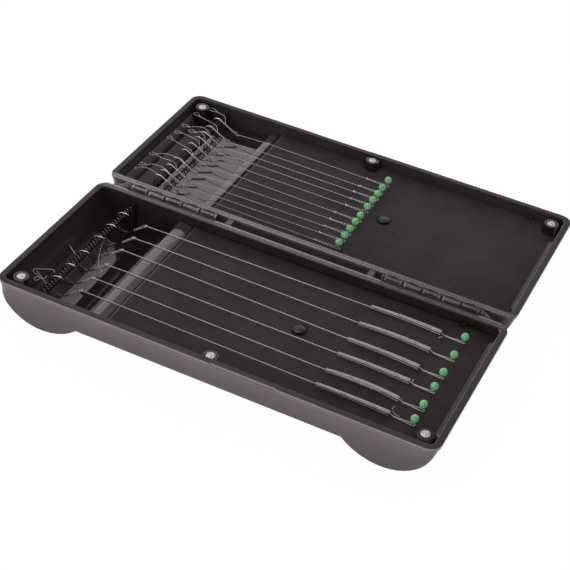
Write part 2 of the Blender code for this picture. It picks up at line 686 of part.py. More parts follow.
def make_liner(side, mat):
    end = plate_end()
    if side == "base":
        top = RIM_HEIGHT - BASE_RIDGE_DROP
        slope_x = RIDGE_X + BASE_RIDGE_FLAT
        foot_x = slope_x + BASE_RIDGE_SLOPE
        fall = top - BASE_RIDGE_FALL
        shoulder = arc((RIDGE_X + RIDGE_ROUND, top - RIDGE_ROUND), RIDGE_ROUND, math.pi, math.pi / 2,
                       RIDGE_ROUND_STEPS)
        outline = [(RIDGE_X, PLATE_BOTTOM)] + shoulder + [
            (slope_x, top), (foot_x, fall), (foot_x, PLATE_TOP), (end, PLATE_TOP), (end, PLATE_BOTTOM),
            (foot_x - PLATE, PLATE_BOTTOM), (foot_x - PLATE, fall - PLATE),
            (slope_x - PLATE / 2, top - PLATE), (RIDGE_X + RIDGE_ROUND, top - PLATE),
            (RIDGE_X + PLATE, top - RIDGE_ROUND), (RIDGE_X + PLATE, PLATE_BOTTOM),
        ]
    else:
        top = RIM_HEIGHT - LID_RIDGE_DROP
        foot_x = LID_RIDGE_X + LID_RIDGE_WIDTH
        upturn = RIM_HEIGHT - UPTURN_DROP
        inner = wall_arc(CLEARANCE + PLATE, PLATE_TOP, upturn, UPTURN_STEPS, -1)
        outer = wall_arc(CLEARANCE, PLATE_BOTTOM, upturn, UPTURN_STEPS, -1)
        outline = inner[::-1] + [
            (LID_RIDGE_X, PLATE_TOP), (LID_RIDGE_X, top - RIDGE_LIP), (LID_RIDGE_X + RIDGE_LIP, top),
            (foot_x - RIDGE_LIP, top), (foot_x, top - RIDGE_LIP), (foot_x, PLATE_TOP),
            (end, PLATE_TOP), (end, PLATE_BOTTOM),
            (foot_x - PLATE, PLATE_BOTTOM), (foot_x - PLATE, top - PLATE),
            (LID_RIDGE_X + PLATE, top - PLATE), (LID_RIDGE_X + PLATE, PLATE_BOTTOM),
        ] + outer
    bm = bmesh.new()
    across(bm, side, outline, 0.0, HINGE_OFFSET + HALF_WIDTH)
    liner = mesh_object(side + "_liner", bm, mat)
    return fit_inside(liner, side, LINER_GAP, fitted_cutters(side, LINER_GAP))


def pin_places(side):
    shares = BASE_PIN_SHARES if side == "base" else LID_PIN_SHARES
    return [(PIN_X[side], INNER_NEAR + s * (INNER_FAR - INNER_NEAR)) for s in shares]


def stud_place():
    return (STUD_X, (INNER_NEAR + INNER_FAR) / 2)


def make_foam(side, mat):
    end = wall_arc(CLEARANCE * 2, FOAM_BOTTOM, FOAM_TOP, FOAM_END_STEPS, 1)
    outline = [(FOAM_X, FOAM_TOP), (FOAM_X, FOAM_BOTTOM)] + end
    bm = bmesh.new()
    across(bm, side, outline, 0.0, HINGE_OFFSET + HALF_WIDTH)
    foam = mesh_object(side + "_foam", bm, mat)
    cuts = fitted_cutters(side, FOAM_GAP)
    for x, v in pin_places(side):
        hole = circle((x, v), PIN_SHAFT + CLEARANCE, PIN_STEPS)
        upright(cuts, side, hole, FOAM_BOTTOM - OVERRUN, FOAM_TOP + OVERRUN)
    stem = circle(stud_place(), STUD_STEM + CLEARANCE, STUD_STEPS)
    upright(cuts, side, stem, FOAM_BOTTOM - OVERRUN, FOAM_TOP + OVERRUN)
    return fit_inside(foam, side, FOAM_GAP, cuts)


def make_stud(side, mat):
    """A domed head that rests on the foam and a stem that reaches the floor plate."""
    seat = CLEARANCE
    profile = [(0.0, FOAM_BOTTOM - FOAM_TOP), (STUD_STEM, FOAM_BOTTOM - FOAM_TOP), (STUD_STEM, seat),
               (STUD_RADIUS, seat)]
    for step in range(STUD_DOME_STEPS):
        a = math.pi / 2 * (step + 1) / (STUD_DOME_STEPS + 1)
        profile.append((STUD_RADIUS * math.cos(a), seat + STUD_DOME * math.sin(a)))
    profile.append((0.0, seat + STUD_DOME))
    stud = mesh_object(side + "_foam_stud", lathe(bmesh.new(), profile, STUD_STEPS), mat, 40 * DEG)
    stud.location = place(side, *stud_place(), FOAM_TOP)
    return stud


# Springs

def spring_route(side):
    """A stretched coil along v, whose last half turns close in and run straight into the anchors."""
    near = INNER_NEAR + ANCHOR_DEPTH + CLEARANCE
    far = INNER_FAR - ANCHOR_DEPTH - CLEARANCE
    tail = SPRING_TAIL + SPRING_TAIL_POINTS * SPRING_WIRE
    coil = (near + tail, far - tail)
    steps = SPRING_CURLS * SPRING_POINTS
    turn = 2 * math.pi / SPRING_POINTS

    def at(angle, radius, v):
        return place(side, -SPRING_X + radius * math.cos(angle), v, SPRING_HEIGHT + radius * math.sin(angle))

    route = [at(turn * i, SPRING_RADIUS, coil[0] + (coil[1] - coil[0]) * i / steps) for i in range(steps + 1)]
    for number in range(1, SPRING_TAIL_POINTS + 1):
        radius = SPRING_RADIUS * (1 - number / (SPRING_TAIL_POINTS + 1))
        step = SPRING_WIRE * number
        route.insert(0, at(-turn * number, radius, coil[0] - step))
        route.append(at(turn * (steps + number), radius, coil[1] + step))
    last = SPRING_RADIUS / (SPRING_TAIL_POINTS + 1)
    route.insert(0, at(-turn * SPRING_TAIL_POINTS, last, near))
    route.append(at(turn * (steps + SPRING_TAIL_POINTS), last, far))
    return route


def least_gap(route, wire_diameter, reach):
    """The least distance between points of a wound tube that are at least a given number apart."""
    points = np.array([tuple(p) for p in route])
    least = math.inf
    for first in range(len(points) - reach):
        away = np.linalg.norm(points[first + reach:] - points[first], axis=1)
        least = min(least, float(away.min()))
    return least - wire_diameter


def make_spring(side, mat):
    route = spring_route(side)
    gap = least_gap(route, SPRING_WIRE, SPRING_POINTS * 3 // 4)
    print(side + "_spring least gap to itself, mm:", round(gap / MM, 2))
    return wire(side + "_spring", route, SPRING_WIRE / 2, mat)


# Pins

def pin_mesh():
    """A ball on a pointed shaft, with the origin where the shaft enters the foam."""
    centre = PIN_SHOWN + PIN_BALL * math.cos(math.asin(PIN_SHAFT / PIN_BALL))
    profile = [(0.0, -PIN_BURIED), (PIN_SHAFT, PIN_POINT - PIN_BURIED), (PIN_SHAFT, PIN_SHOWN)]
    first = math.pi - math.asin(PIN_SHAFT / PIN_BALL)
    for step in range(1, PIN_BALL_STEPS):
        a = first * (1 - step / PIN_BALL_STEPS)
        profile.append((PIN_BALL * math.sin(a), centre + PIN_BALL * math.cos(a)))
    profile.append((0.0, centre + PIN_BALL))
    return lathe(bmesh.new(), profile, PIN_STEPS)


def make_pins(side, mat):
    pins = []
    for number, (x, v) in enumerate(pin_places(side)):
        pin = mesh_object(side + "_pin_" + str(number + 1), pin_mesh(), mat, 50 * DEG)
        pin.location = place(side, x, v, FOAM_TOP)
        pins.append(pin)
    return pins


# Rigs

def eye_winding(side, centre, heading, v):
    """The wire turned once round the eye beside itself, then the link that leaves on the far side."""
    steps = EYE_STEPS * 3 // 2
    points = []
    radii = []
    for i in range(1, steps + 1):
        turns = i / EYE_STEPS
        a = heading + math.pi + 2 * math.pi * turns
        x = centre[0] + EYE_RADIUS * math.cos(a)
        z = centre[1] + EYE_RADIUS * math.sin(a)
        points.append(place(side, x, v + EYE_PITCH * turns, z))
        radii.append(HOOK_WIRE if turns < EYE_WIRE_SHARE else LINE_RADIUS)
    return points, radii


def beyond(point, heading, distance):
    return (point[0] + distance * math.cos(heading), point[1] + distance * math.sin(heading))


def pin_loop(side, v, x_knot, x_pin, v_pin):
    """The end of a link: a knot, then a loop round the pin that stops just short of the knot."""
    points = []
    radii = []
    shape = ((1.0, LINE_RADIUS), (0.5, KNOT_RADIUS), (0.0, LINE_RADIUS))
    for share, radius in shape:
        points.append(place(side, x_knot - KNOT_LENGTH * share, v, LINE_HEIGHT))
        radii.append(radius)
    for a in np.linspace(-LOOP_ANGLE, LOOP_ANGLE, LOOP_STEPS):
        x = x_pin + LOOP_RADIUS * math.cos(a)
        points.append(place(side, x, v_pin + LOOP_RADIUS * math.sin(a), LINE_HEIGHT))
        radii.append(LINE_RADIUS)
    points.append(place(side, x_knot + LOOP_RADIUS, v + LOOP_RADIUS, LINE_HEIGHT))
    radii.append(LINE_RADIUS)
    return points, radii


def make_base_rig(number, v_hook, v_pin, mat):
    """Hook and link in one: the bend hangs on the spring, the link crosses the ridge to its pin."""
    centre = (-SPRING_X + BASE_BEND_X, SPRING_HEIGHT - BASE_BEND_DROP)
    bend = arc(centre, BASE_BEND_RADIUS, BASE_BEND_START, BASE_BEND_END, BASE_BEND_STEPS)
    heading = BASE_BEND_END + math.pi / 2
    shank_end = beyond(bend[-1], heading, BASE_SHANK)
    ring = beyond(shank_end, heading, EYE_RADIUS)
    route = [place("base", x, v_hook, z) for x, z in bend + [shank_end]]
    radii = [HOOK_POINT] + [HOOK_WIRE] * (len(route) - 1)
    winding, winding_radii = eye_winding("base", ring, heading, v_hook)

    x_knot = PIN_X["base"] - LOOP_LENGTH
    row = row_between(LINK_X, v_hook, x_knot, v_pin)
    ridge_top = RIM_HEIGHT - BASE_RIDGE_DROP
    sleeve_end = SLEEVE_START_X + SLEEVE_LENGTH
    over_ridge = RIDGE_X + RIDGE_ROUND
    link = [place("base", over_ridge, row(over_ridge), ridge_top + CLEARANCE + LINE_RADIUS),
            place("base", SLEEVE_START_X, row(SLEEVE_START_X), SLEEVE_HEIGHT),
            place("base", sleeve_end, row(sleeve_end), SLEEVE_HEIGHT)]
    loop, loop_radii = pin_loop("base", row(x_knot), x_knot, PIN_X["base"], v_pin)
    route += winding + link + loop
    radii += winding_radii + [LINE_RADIUS] * len(link) + loop_radii
    return wire("base_rig_" + str(number), route, HOOK_WIRE, mat, radii)


def row_between(x_start, v_start, x_end, v_end):
    """The place across the tray of a straight link at any place along it."""
    slope = (v_end - v_start) / (x_end - x_start)
    return lambda x: v_start + slope * (x - x_start)


def make_sleeve(number, v_hook, v_pin, mat):
    """A tapered anti-tangle sleeve threaded on the link, its thick end at the pin."""
    row = row_between(LINK_X, v_hook, PIN_X["base"] - LOOP_LENGTH, v_pin)
    start = place("base", SLEEVE_START_X, row(SLEEVE_START_X), SLEEVE_HEIGHT)
    end = SLEEVE_START_X + SLEEVE_LENGTH
    along = place("base", end, row(end), SLEEVE_HEIGHT) - start
    bm = bmesh.new()
    rings = []
    shape = ((SLEEVE_THIN, 0.0), (SLEEVE_THICK, 1.0), (SLEEVE_BORE, 1.0), (SLEEVE_BORE, 0.0))
    for radius, share in shape:
        section = circle((0, 0), radius, SLEEVE_STEPS)
        rings.append([bm.verts.new((along.length * share, y, z)) for y, z in section])
    for a, b in zip(rings, rings[1:] + rings[:1]):
        for i in range(SLEEVE_STEPS):
            j = (i + 1) % SLEEVE_STEPS
            bm.faces.new((a[i], a[j], b[j], b[i]))
    sleeve = mesh_object("base_sleeve_" + str(number), bm, mat, 50 * DEG)
    sleeve.location = start
    sleeve.rotation_euler = (0, 0, math.atan2(along.y, along.x))
    return sleeve


def make_lid_rig(number, v_hook, v_pin, mat):
    """Hook and link in one: the shank slopes down from the bend, the link crosses to its pin."""
    centre = (-SPRING_X + LID_BEND_X, SPRING_HEIGHT + LID_BEND_LIFT)
    bend = arc(centre, LID_BEND_RADIUS, LID_BEND_END, LID_BEND_START, LID_BEND_STEPS)
    heading = LID_BEND_START - math.pi / 2
    shank_end = beyond(bend[-1], heading, LID_SHANK)
    ring = beyond(shank_end, heading, EYE_RADIUS)
    eye_v = v_hook - LID_SLANT
    route = [place("lid", x, v_hook, z) for x, z in bend] + [place("lid", shank_end[0], eye_v, shank_end[1])]
    radii = [HOOK_POINT] + [HOOK_WIRE] * (len(route) - 1)
    winding, winding_radii = eye_winding("lid", ring, heading, eye_v)

    x_knot = PIN_X["lid"] - LOOP_LENGTH
    row = row_between(ring[0], eye_v, x_knot, v_pin)
    link = [place("lid", LID_RIDGE_X, row(LID_RIDGE_X), LINE_HEIGHT)]
    loop, loop_radii = pin_loop("lid", row(x_knot), x_knot, PIN_X["lid"], v_pin)
    route += winding + link + loop
    radii += winding_radii + [LINE_RADIUS] * len(link) + loop_radii
    return wire("lid_rig_" + str(number), route, HOOK_WIRE, mat, radii)


def rig_rows(hook_shares, pin_shares):
    inner = INNER_FAR - INNER_NEAR
    for number, (hook_share, pin_share) in enumerate(zip(hook_shares, pin_shares)):
        yield number + 1, INNER_NEAR + hook_share * inner, INNER_NEAR + pin_share * inner


# The whole box

def build():
    clear_scene()
    shell = material("shell_plastic", (0.085, 0.08, 0.08), 0.42)
    liner = material("liner_plastic", (0.08, 0.076, 0.076), 0.4)
    foam = material("foam", (0.04, 0.037, 0.042), 0.9)
    stud = material("stud_plastic", (0.03, 0.03, 0.032), 0.35)
    magnet = material("magnet_nickel", (0.75, 0.75, 0.77), 0.25, 1.0)
    steel = material("rod_steel", (0.5, 0.5, 0.5), 0.35, 1.0)
    spring = material("spring_wire", (0.02, 0.02, 0.022), 0.25, 0.9)
    rig = material("rig_braid", (0.42, 0.42, 0.4), 0.6)
    sleeve = material("sleeve_rubber", (0.2, 0.2, 0.17), 0.55)
    ball = material("pin_ball_green", (0.06, 0.42, 0.1), 0.3)

    axis = bpy.data.objects.new("lid_axis", None)
    axis.location = (0, 0, AXIS_HEIGHT)
    bpy.context.scene.collection.objects.link(axis)
    to_axis = Matrix.Translation(axis.location).inverted()

    parts = {}
    for side in ("base", "lid"):
        parts[side] = [make_tray(side, shell), make_liner(side, liner), make_foam(side, foam),
                       make_stud(side, stud), make_spring(side, spring)]
        parts[side] += make_magnets(side, magnet) + make_pins(side, ball)
    parts["base"] += make_rods(steel)
    for row in rig_rows(BASE_HOOK_SHARES, BASE_PIN_SHARES):
        parts["base"] += [make_base_rig(*row, rig), make_sleeve(*row, sleeve)]
    for row in rig_rows(LID_HOOK_SHARES, LID_PIN_SHARES):
        parts["lid"].append(make_lid_rig(*row, rig))
    for obj in parts["lid"]:
        obj.parent = axis
        obj.matrix_parent_inverse = to_axis


build()
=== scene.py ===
"""A fishing rig box lying open: the finish of every moulded part, the foam sheets, and the springs,
pins, hooks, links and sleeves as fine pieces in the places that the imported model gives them."""
import math

import bmesh
import bpy
import numpy as np
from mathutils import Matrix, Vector, noise


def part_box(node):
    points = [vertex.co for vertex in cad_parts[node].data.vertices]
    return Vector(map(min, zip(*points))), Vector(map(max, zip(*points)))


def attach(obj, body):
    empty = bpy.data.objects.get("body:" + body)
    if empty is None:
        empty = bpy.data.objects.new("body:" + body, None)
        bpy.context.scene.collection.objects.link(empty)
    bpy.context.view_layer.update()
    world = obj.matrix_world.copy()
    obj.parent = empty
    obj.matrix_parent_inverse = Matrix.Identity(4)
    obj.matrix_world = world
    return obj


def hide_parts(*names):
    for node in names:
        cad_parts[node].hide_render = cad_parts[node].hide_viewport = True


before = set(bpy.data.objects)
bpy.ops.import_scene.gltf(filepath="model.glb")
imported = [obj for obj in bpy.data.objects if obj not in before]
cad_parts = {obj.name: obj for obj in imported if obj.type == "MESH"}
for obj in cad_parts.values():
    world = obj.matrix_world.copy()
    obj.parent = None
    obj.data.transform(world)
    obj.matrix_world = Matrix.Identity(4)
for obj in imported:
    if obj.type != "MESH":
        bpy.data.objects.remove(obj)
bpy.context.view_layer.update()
MM = 0.001

# Camera
# The box lies open at 180 degrees and is seen from above its front right, forty degrees down,
# through a long lens that keeps its edges nearly parallel.
camera = bpy.data.objects.new("camera", bpy.data.cameras.new("camera"))
bpy.context.scene.collection.objects.link(camera)
camera.location = Vector((319.7, -804.5, 684.9)) * MM
camera.rotation_euler = [math.radians(angle) for angle in (51.284, -4.675, 25.924)]
camera.data.sensor_width = 36.0
camera.data.lens = 91.12
camera.data.clip_end = 30.0
bpy.context.scene.camera = camera
bpy.context.scene.view_settings.view_transform = 'Standard'

# Studio
# A white floor under a dim room whose lower part is a white backdrop. A wide pale screen behind on
# the left is mirrored by the plastic, a soft lamp low in front lights the near walls, and a small
# one high up makes the glints.
WHITE = (1.0, 1.0, 1.0)
LAMP_COLOUR = (1.0, 0.94, 0.96)


def new_node(tree, kind, inputs, **settings):
    """A node with those settings, each of its named inputs given a value or linked to a socket."""
    node = tree.nodes.new("ShaderNode" + kind)
    for name, value in settings.items():
        setattr(node, name, value)
    for name, value in inputs.items():
        if isinstance(value, bpy.types.NodeSocket):
            tree.links.new(value, node.inputs[name])
        else:
            node.inputs[name].default_value = value
    return node


def maths(operation, first, second=0.0):
    """One Math node between a value and a number or another value."""
    return new_node(first.id_data, "Math", {0: first, 1: second}, operation=operation).outputs[0]


def two_tones(share, first, second):
    """A mix of two colours, each of them three numbers or a socket."""
    first, second = ((*tone, 1.0) if isinstance(tone, tuple) else tone for tone in (first, second))
    inputs = {"Factor": share, "A": first, "B": second}
    return new_node(share.id_data, "Mix", inputs, data_type='RGBA').outputs["Result"]


def light_path_share(tree, *kinds):
    """1 for the named kinds of ray, else 0."""
    rays = new_node(tree, "LightPath", {}).outputs
    share = rays[kinds[0]]
    for kind in kinds[1:]:
        share = maths('MAXIMUM', share, rays[kind])
    return share


def studio_world():
    room_grey = (0.35, 0.325, 0.335)
    wall_mirrored = (0.33, 0.305, 0.313)
    ceiling_mirrored = (0.05, 0.05, 0.05)
    backdrop = (0.96, 0.92, 0.935)
    backdrop_top = (math.sin(math.radians(12)), math.sin(math.radians(26)))
    wall_top = (math.sin(math.radians(56)), math.sin(math.radians(66)))
    world = bpy.data.worlds.new("studio")
    world.use_nodes = True
    tree = world.node_tree
    direction = new_node(tree, "TexCoord", {}).outputs["Generated"]
    height = new_node(tree, "SeparateXYZ", {0: direction}).outputs["Z"]

    def above(low, high):
        inputs = {"Value": height, "From Min": low, "From Max": high}
        return new_node(tree, "MapRange", inputs, interpolation_type='SMOOTHSTEP').outputs[0]

    mirrored = two_tones(above(*wall_top), wall_mirrored, ceiling_mirrored)
    upper = two_tones(light_path_share(tree, "Is Glossy Ray"), room_grey, mirrored)
    room = two_tones(above(*backdrop_top), backdrop, upper)
    seen = two_tones(light_path_share(tree, "Is Camera Ray", "Is Transmission Ray"), room, WHITE)
    tree.links.new(seen, tree.nodes["Background"].inputs["Color"])
    return world


def studio_floor():
    reach = 4.0
    rings = (0.5, 1.0, 2.0, reach)
    steps = 48
    white_share = 0.92
    paper_grey = (0.86, 0.86, 0.86, 1.0)
    glow_strength = 1.06
    bm = bmesh.new()
    centre = bm.verts.new((0, 0, 0))
    last = []
    for radius in rings:
        ring = [bm.verts.new((radius * math.cos(a), radius * math.sin(a), 0))
                for a in np.linspace(0, 2 * math.pi, steps, endpoint=False)]
        for i in range(steps):
            j = (i + 1) % steps
            bm.faces.new((last[i], ring[i], ring[j], last[j]) if last else (centre, ring[i], ring[j]))
        last = ring
    mesh = bpy.data.meshes.new("studio_floor")
    bm.to_mesh(mesh)
    bm.free()
    mat = bpy.data.materials.new("studio_floor")
    mat.use_nodes = True
    tree = mat.node_tree
    tree.nodes.remove(tree.nodes["Principled BSDF"])
    paper = new_node(tree, "BsdfDiffuse", {"Color": paper_grey})
    glow = new_node(tree, "Emission", {"Color": (*WHITE, 1.0), "Strength": glow_strength})
    seen = light_path_share(tree, "Is Camera Ray", "Is Glossy Ray", "Is Transmission Ray")
    share = maths('MULTIPLY', seen, white_share)
    mixed = new_node(tree, "MixShader", {0: share, 1: paper.outputs[0], 2: glow.outputs[0]})
    tree.links.new(mixed.outputs[0], tree.nodes["Material Output"].inputs["Surface"])
    mesh.materials.append(mat)
    floor = bpy.data.objects.new("studio_floor", mesh)
    bpy.context.scene.collection.objects.link(floor)
    return floor


def studio_lamp(name, place, width, height, radiance):
    """A flat lamp that faces the box and whose face has that radiance."""
    data = bpy.data.lights.new(name, 'AREA')
    data.shape = 'RECTANGLE'
    data.size = width
    data.size_y = height
    data.energy = radiance * math.pi * width * height
    data.color = LAMP_COLOUR
    lamp = bpy.data.objects.new(name, data)
    bpy.context.scene.collection.objects.link(lamp)
    lamp.location = place
    lamp.rotation_euler = (-Vector(place)).to_track_quat('-Z', 'Y').to_euler()
    lamp.visible_camera = False
    return lamp


bpy.context.scene.world = studio_world()
studio_floor()
studio_lamp("screen_lamp", (-0.75, 1.55, 1.05), 2.2, 1.2, 1.15)
studio_lamp("front_lamp", (-0.9, -1.9, 0.85), 1.8, 0.9, 1.35)
glint = studio_lamp("glint_lamp", (-0.55, 0.6, 1.7), 0.6, 0.45, 7.0)
glint.visible_diffuse = False

# Moulded half shells
# Two trays injected in one dark plastic: spark-eroded and paler outside, polished inside, with a
# matt rim. Painted highlights run along the rim and bead outside, painted shade darkens the foot
# of the wall and the gaps by the hinge, and painted light and shade mark the knuckles and rims
# along the hinge. Their edges are only just broken.
OBJECT_SCALE = 1 / MM
EDGE_ANGLE = math.radians(50)
EDGE_BREAK = 0.3 * MM
SAME_POINT = 0.005 * MM


def vector_maths(operation, first, second):
    """One Vector Math node between a vector and three numbers or another vector."""
    node = new_node(first.id_data, "VectorMath", {0: first, 1: second}, operation=operation)
    return node.outputs["Value" if operation in ('DISTANCE', 'DOT_PRODUCT') else "Vector"]


def new_finish(name, roughness, metallic=0.0, specular=0.5):
    """A material, its shader, and the piece's own coordinates in millimetres."""
    mat = bpy.data.materials.new(name)
    mat.use_nodes = True
    shader = mat.node_tree.nodes["Principled BSDF"]
    shader.inputs["Roughness"].default_value = roughness
    shader.inputs["Metallic"].default_value = metallic
    shader.inputs["Specular IOR Level"].default_value = specular
    coords = new_node(mat.node_tree, "TexCoord", {})
    return mat, shader, vector_maths('MULTIPLY', coords.outputs["Object"], (OBJECT_SCALE,) * 3)


def axes_of(vector):
    """The X, Y and Z of a vector."""
    return new_node(vector.id_data, "SeparateXYZ", {0: vector}).outputs


def facing(place):
    """The way that the surface faces."""
    return new_node(place.id_data, "TexCoord", {}).outputs["Normal"]


def grain(place, size, detail=2.0):
    """Noise from 0 to 1 whose lumps are that many millimetres wide."""
    inputs = {"Vector": place, "Scale": 1 / size, "Detail": detail}
    return new_node(place.id_data, "TexNoise", inputs).outputs["Fac"]


def spread(value, low, high, start=0.35, end=0.65):
    """Maps a value between start and end to low and high."""
    inputs = {"Value": value, "From Min": start, "From Max": end, "To Min": low, "To Max": high}
    return new_node(value.id_data, "MapRange", inputs).outputs[0]


def clouds(place, size, first, second, detail=3.0):
    """Two colours that run into each other in clouds of that width in millimetres."""
    return two_tones(spread(grain(place, size, detail), 0.0, 1.0), first, second)


def fade(value, start, end):
    """0 at start and beyond, 1 at end and beyond, whichever of them is the higher."""
    return spread(value, 0.0, 1.0, start, end)


def band(value, low, high, soft):
    """1 between low and high, fading to 0 on either side."""
    return maths('MULTIPLY', fade(value, low - soft, low), fade(value, high + soft, high))


def painted(shader, colour, roughness=None):
    """Gives the finish its colour, and its roughness where that varies."""
    links = shader.id_data.links
    links.new(colour, shader.inputs["Base Color"])
    if roughness is not None:
        links.new(roughness, shader.inputs["Roughness"])


def relief(shader, height, depth):
    """Bump of that depth in millimetres on the shader's normal."""
    inputs = {"Height": height, "Strength": 1.0, "Distance": depth * MM}
    bump = new_node(shader.id_data, "Bump", inputs)
    shader.id_data.links.new(bump.outputs[0], shader.inputs["Normal"])


def level_distance(x, y, spot):
    """The distance of a place, seen from above, from a spot given by its two coordinates."""
    level = new_node(x.id_data, "CombineXYZ", {"X": x, "Y": y})
    return vector_maths('DISTANCE', level.outputs[0], (*spot, 0.0))


def outside_share(place, centre):
    """1 where the surface faces away from the middle of the half, 0 where it faces the inside."""
    weights = (0.35, 1.0, 1.0)  # the box is long, so its length counts for less
    away = vector_maths('MULTIPLY', vector_maths('SUBTRACT', place, centre), weights)
    return fade(vector_maths('DOT_PRODUCT', away, facing(place)), -4.0, 4.0)


def hinge_tone(parts, cloud, uneven):
    """Painted highlights and painted shade along the hinge side, from the base's pocket (-Y) to the lid's.
    """
    # painted light: pale lines along the rails and knuckle tops, with painted shade in the grooves between
    between_groups = ((-9.5, 0.12), (-7.2, 0.18), (-6.3, 0.12), (-5.4, 0.5), (-4.5, 0.52), (-4.0, 0.01),
                      (-3.2, 0.01), (-2.6, 0.16), (2.0, 0.1), (4.3, 0.08), (5.2, 0.37), (6.2, 0.32),
                      (6.8, 0.2), (7.6, 0.21), (8.4, 0.37), (9.6, 0.16))
    at_groups = ((-9.5, 0.08), (-6.9, 0.17), (-5.4, 0.05), (-4.5, 0.13), (-3.2, 0.01), (-1.9, 0.01),
                 (-1.3, 0.34), (-0.6, 0.2), (0.1, 0.02), (3.6, 0.012), (4.7, 0.12), (5.6, 0.44), (6.6, 0.11),
                 (8.6, 0.34), (9.6, 0.1))
    warmth = (1.0, 0.94, 0.93)
    reach = 12.0  # of the tones, on either side of the hinge line
    inner, outer = 69.3, 145.6  # ends of a knuckle group, from the middle of the box
    knuckles = 5
    barrel = (-2.4, 1.2)  # the part of a knuckle's round that shows
    slot_fade = (1.1, 0.7)  # from either end of a knuckle
    corner_reach = (1.3, 2.0)
    # painted shade in the slots between the knuckles, and painted highlights on the knuckles' corners
    slot_shade_colour = (0.012, 0.011, 0.01)
    corner_highlight_colour = (0.5, 0.48, 0.47)
    wear = ((0.55, 0.55, 0.55), (1.4, 1.4, 1.4))
    light = ((1.15, 1.15, 1.15), (0.6, 0.59, 0.58))  # at the left and right ends
    lit_length = 140.0
    along_y = fade(parts["Y"], -reach, reach)
    tones = []
    for stops in (between_groups, at_groups):
        ramp = new_node(along_y.id_data, "ValToRGB", {0: along_y})
        while len(ramp.color_ramp.elements) < len(stops):
            ramp.color_ramp.elements.new(0.5)
        for element, (y, tone) in zip(ramp.color_ramp.elements, stops):
            element.position = (y + reach) / (2 * reach)
            element.color = (*(tone * part for part in warmth), 1.0)
        tones.append(ramp.outputs[0])
    along_x = maths('ABSOLUTE', parts["X"])
    grouped = band(along_x, inner, outer, 0.5)
    tone = two_tones(grouped, *tones)
    from_end = maths('PINGPONG', maths('SUBTRACT', along_x, inner), (outer - inner) / knuckles / 2)
    on_barrel = maths('MULTIPLY', grouped, band(parts["Y"], *barrel, 0.3))
    slot = maths('MULTIPLY', on_barrel, fade(from_end, *slot_fade))
    corner = maths('MULTIPLY', on_barrel, band(from_end, *corner_reach, 0.3))
    tone = two_tones(maths('MULTIPLY', corner, uneven), tone, corner_highlight_colour)
    tone = two_tones(slot, tone, slot_shade_colour)
    tone = vector_maths('MULTIPLY', tone, two_tones(cloud, *wear))
    across = fade(parts["X"], -lit_length, lit_length)
    return vector_maths('MULTIPLY', tone, two_tones(across, *light))


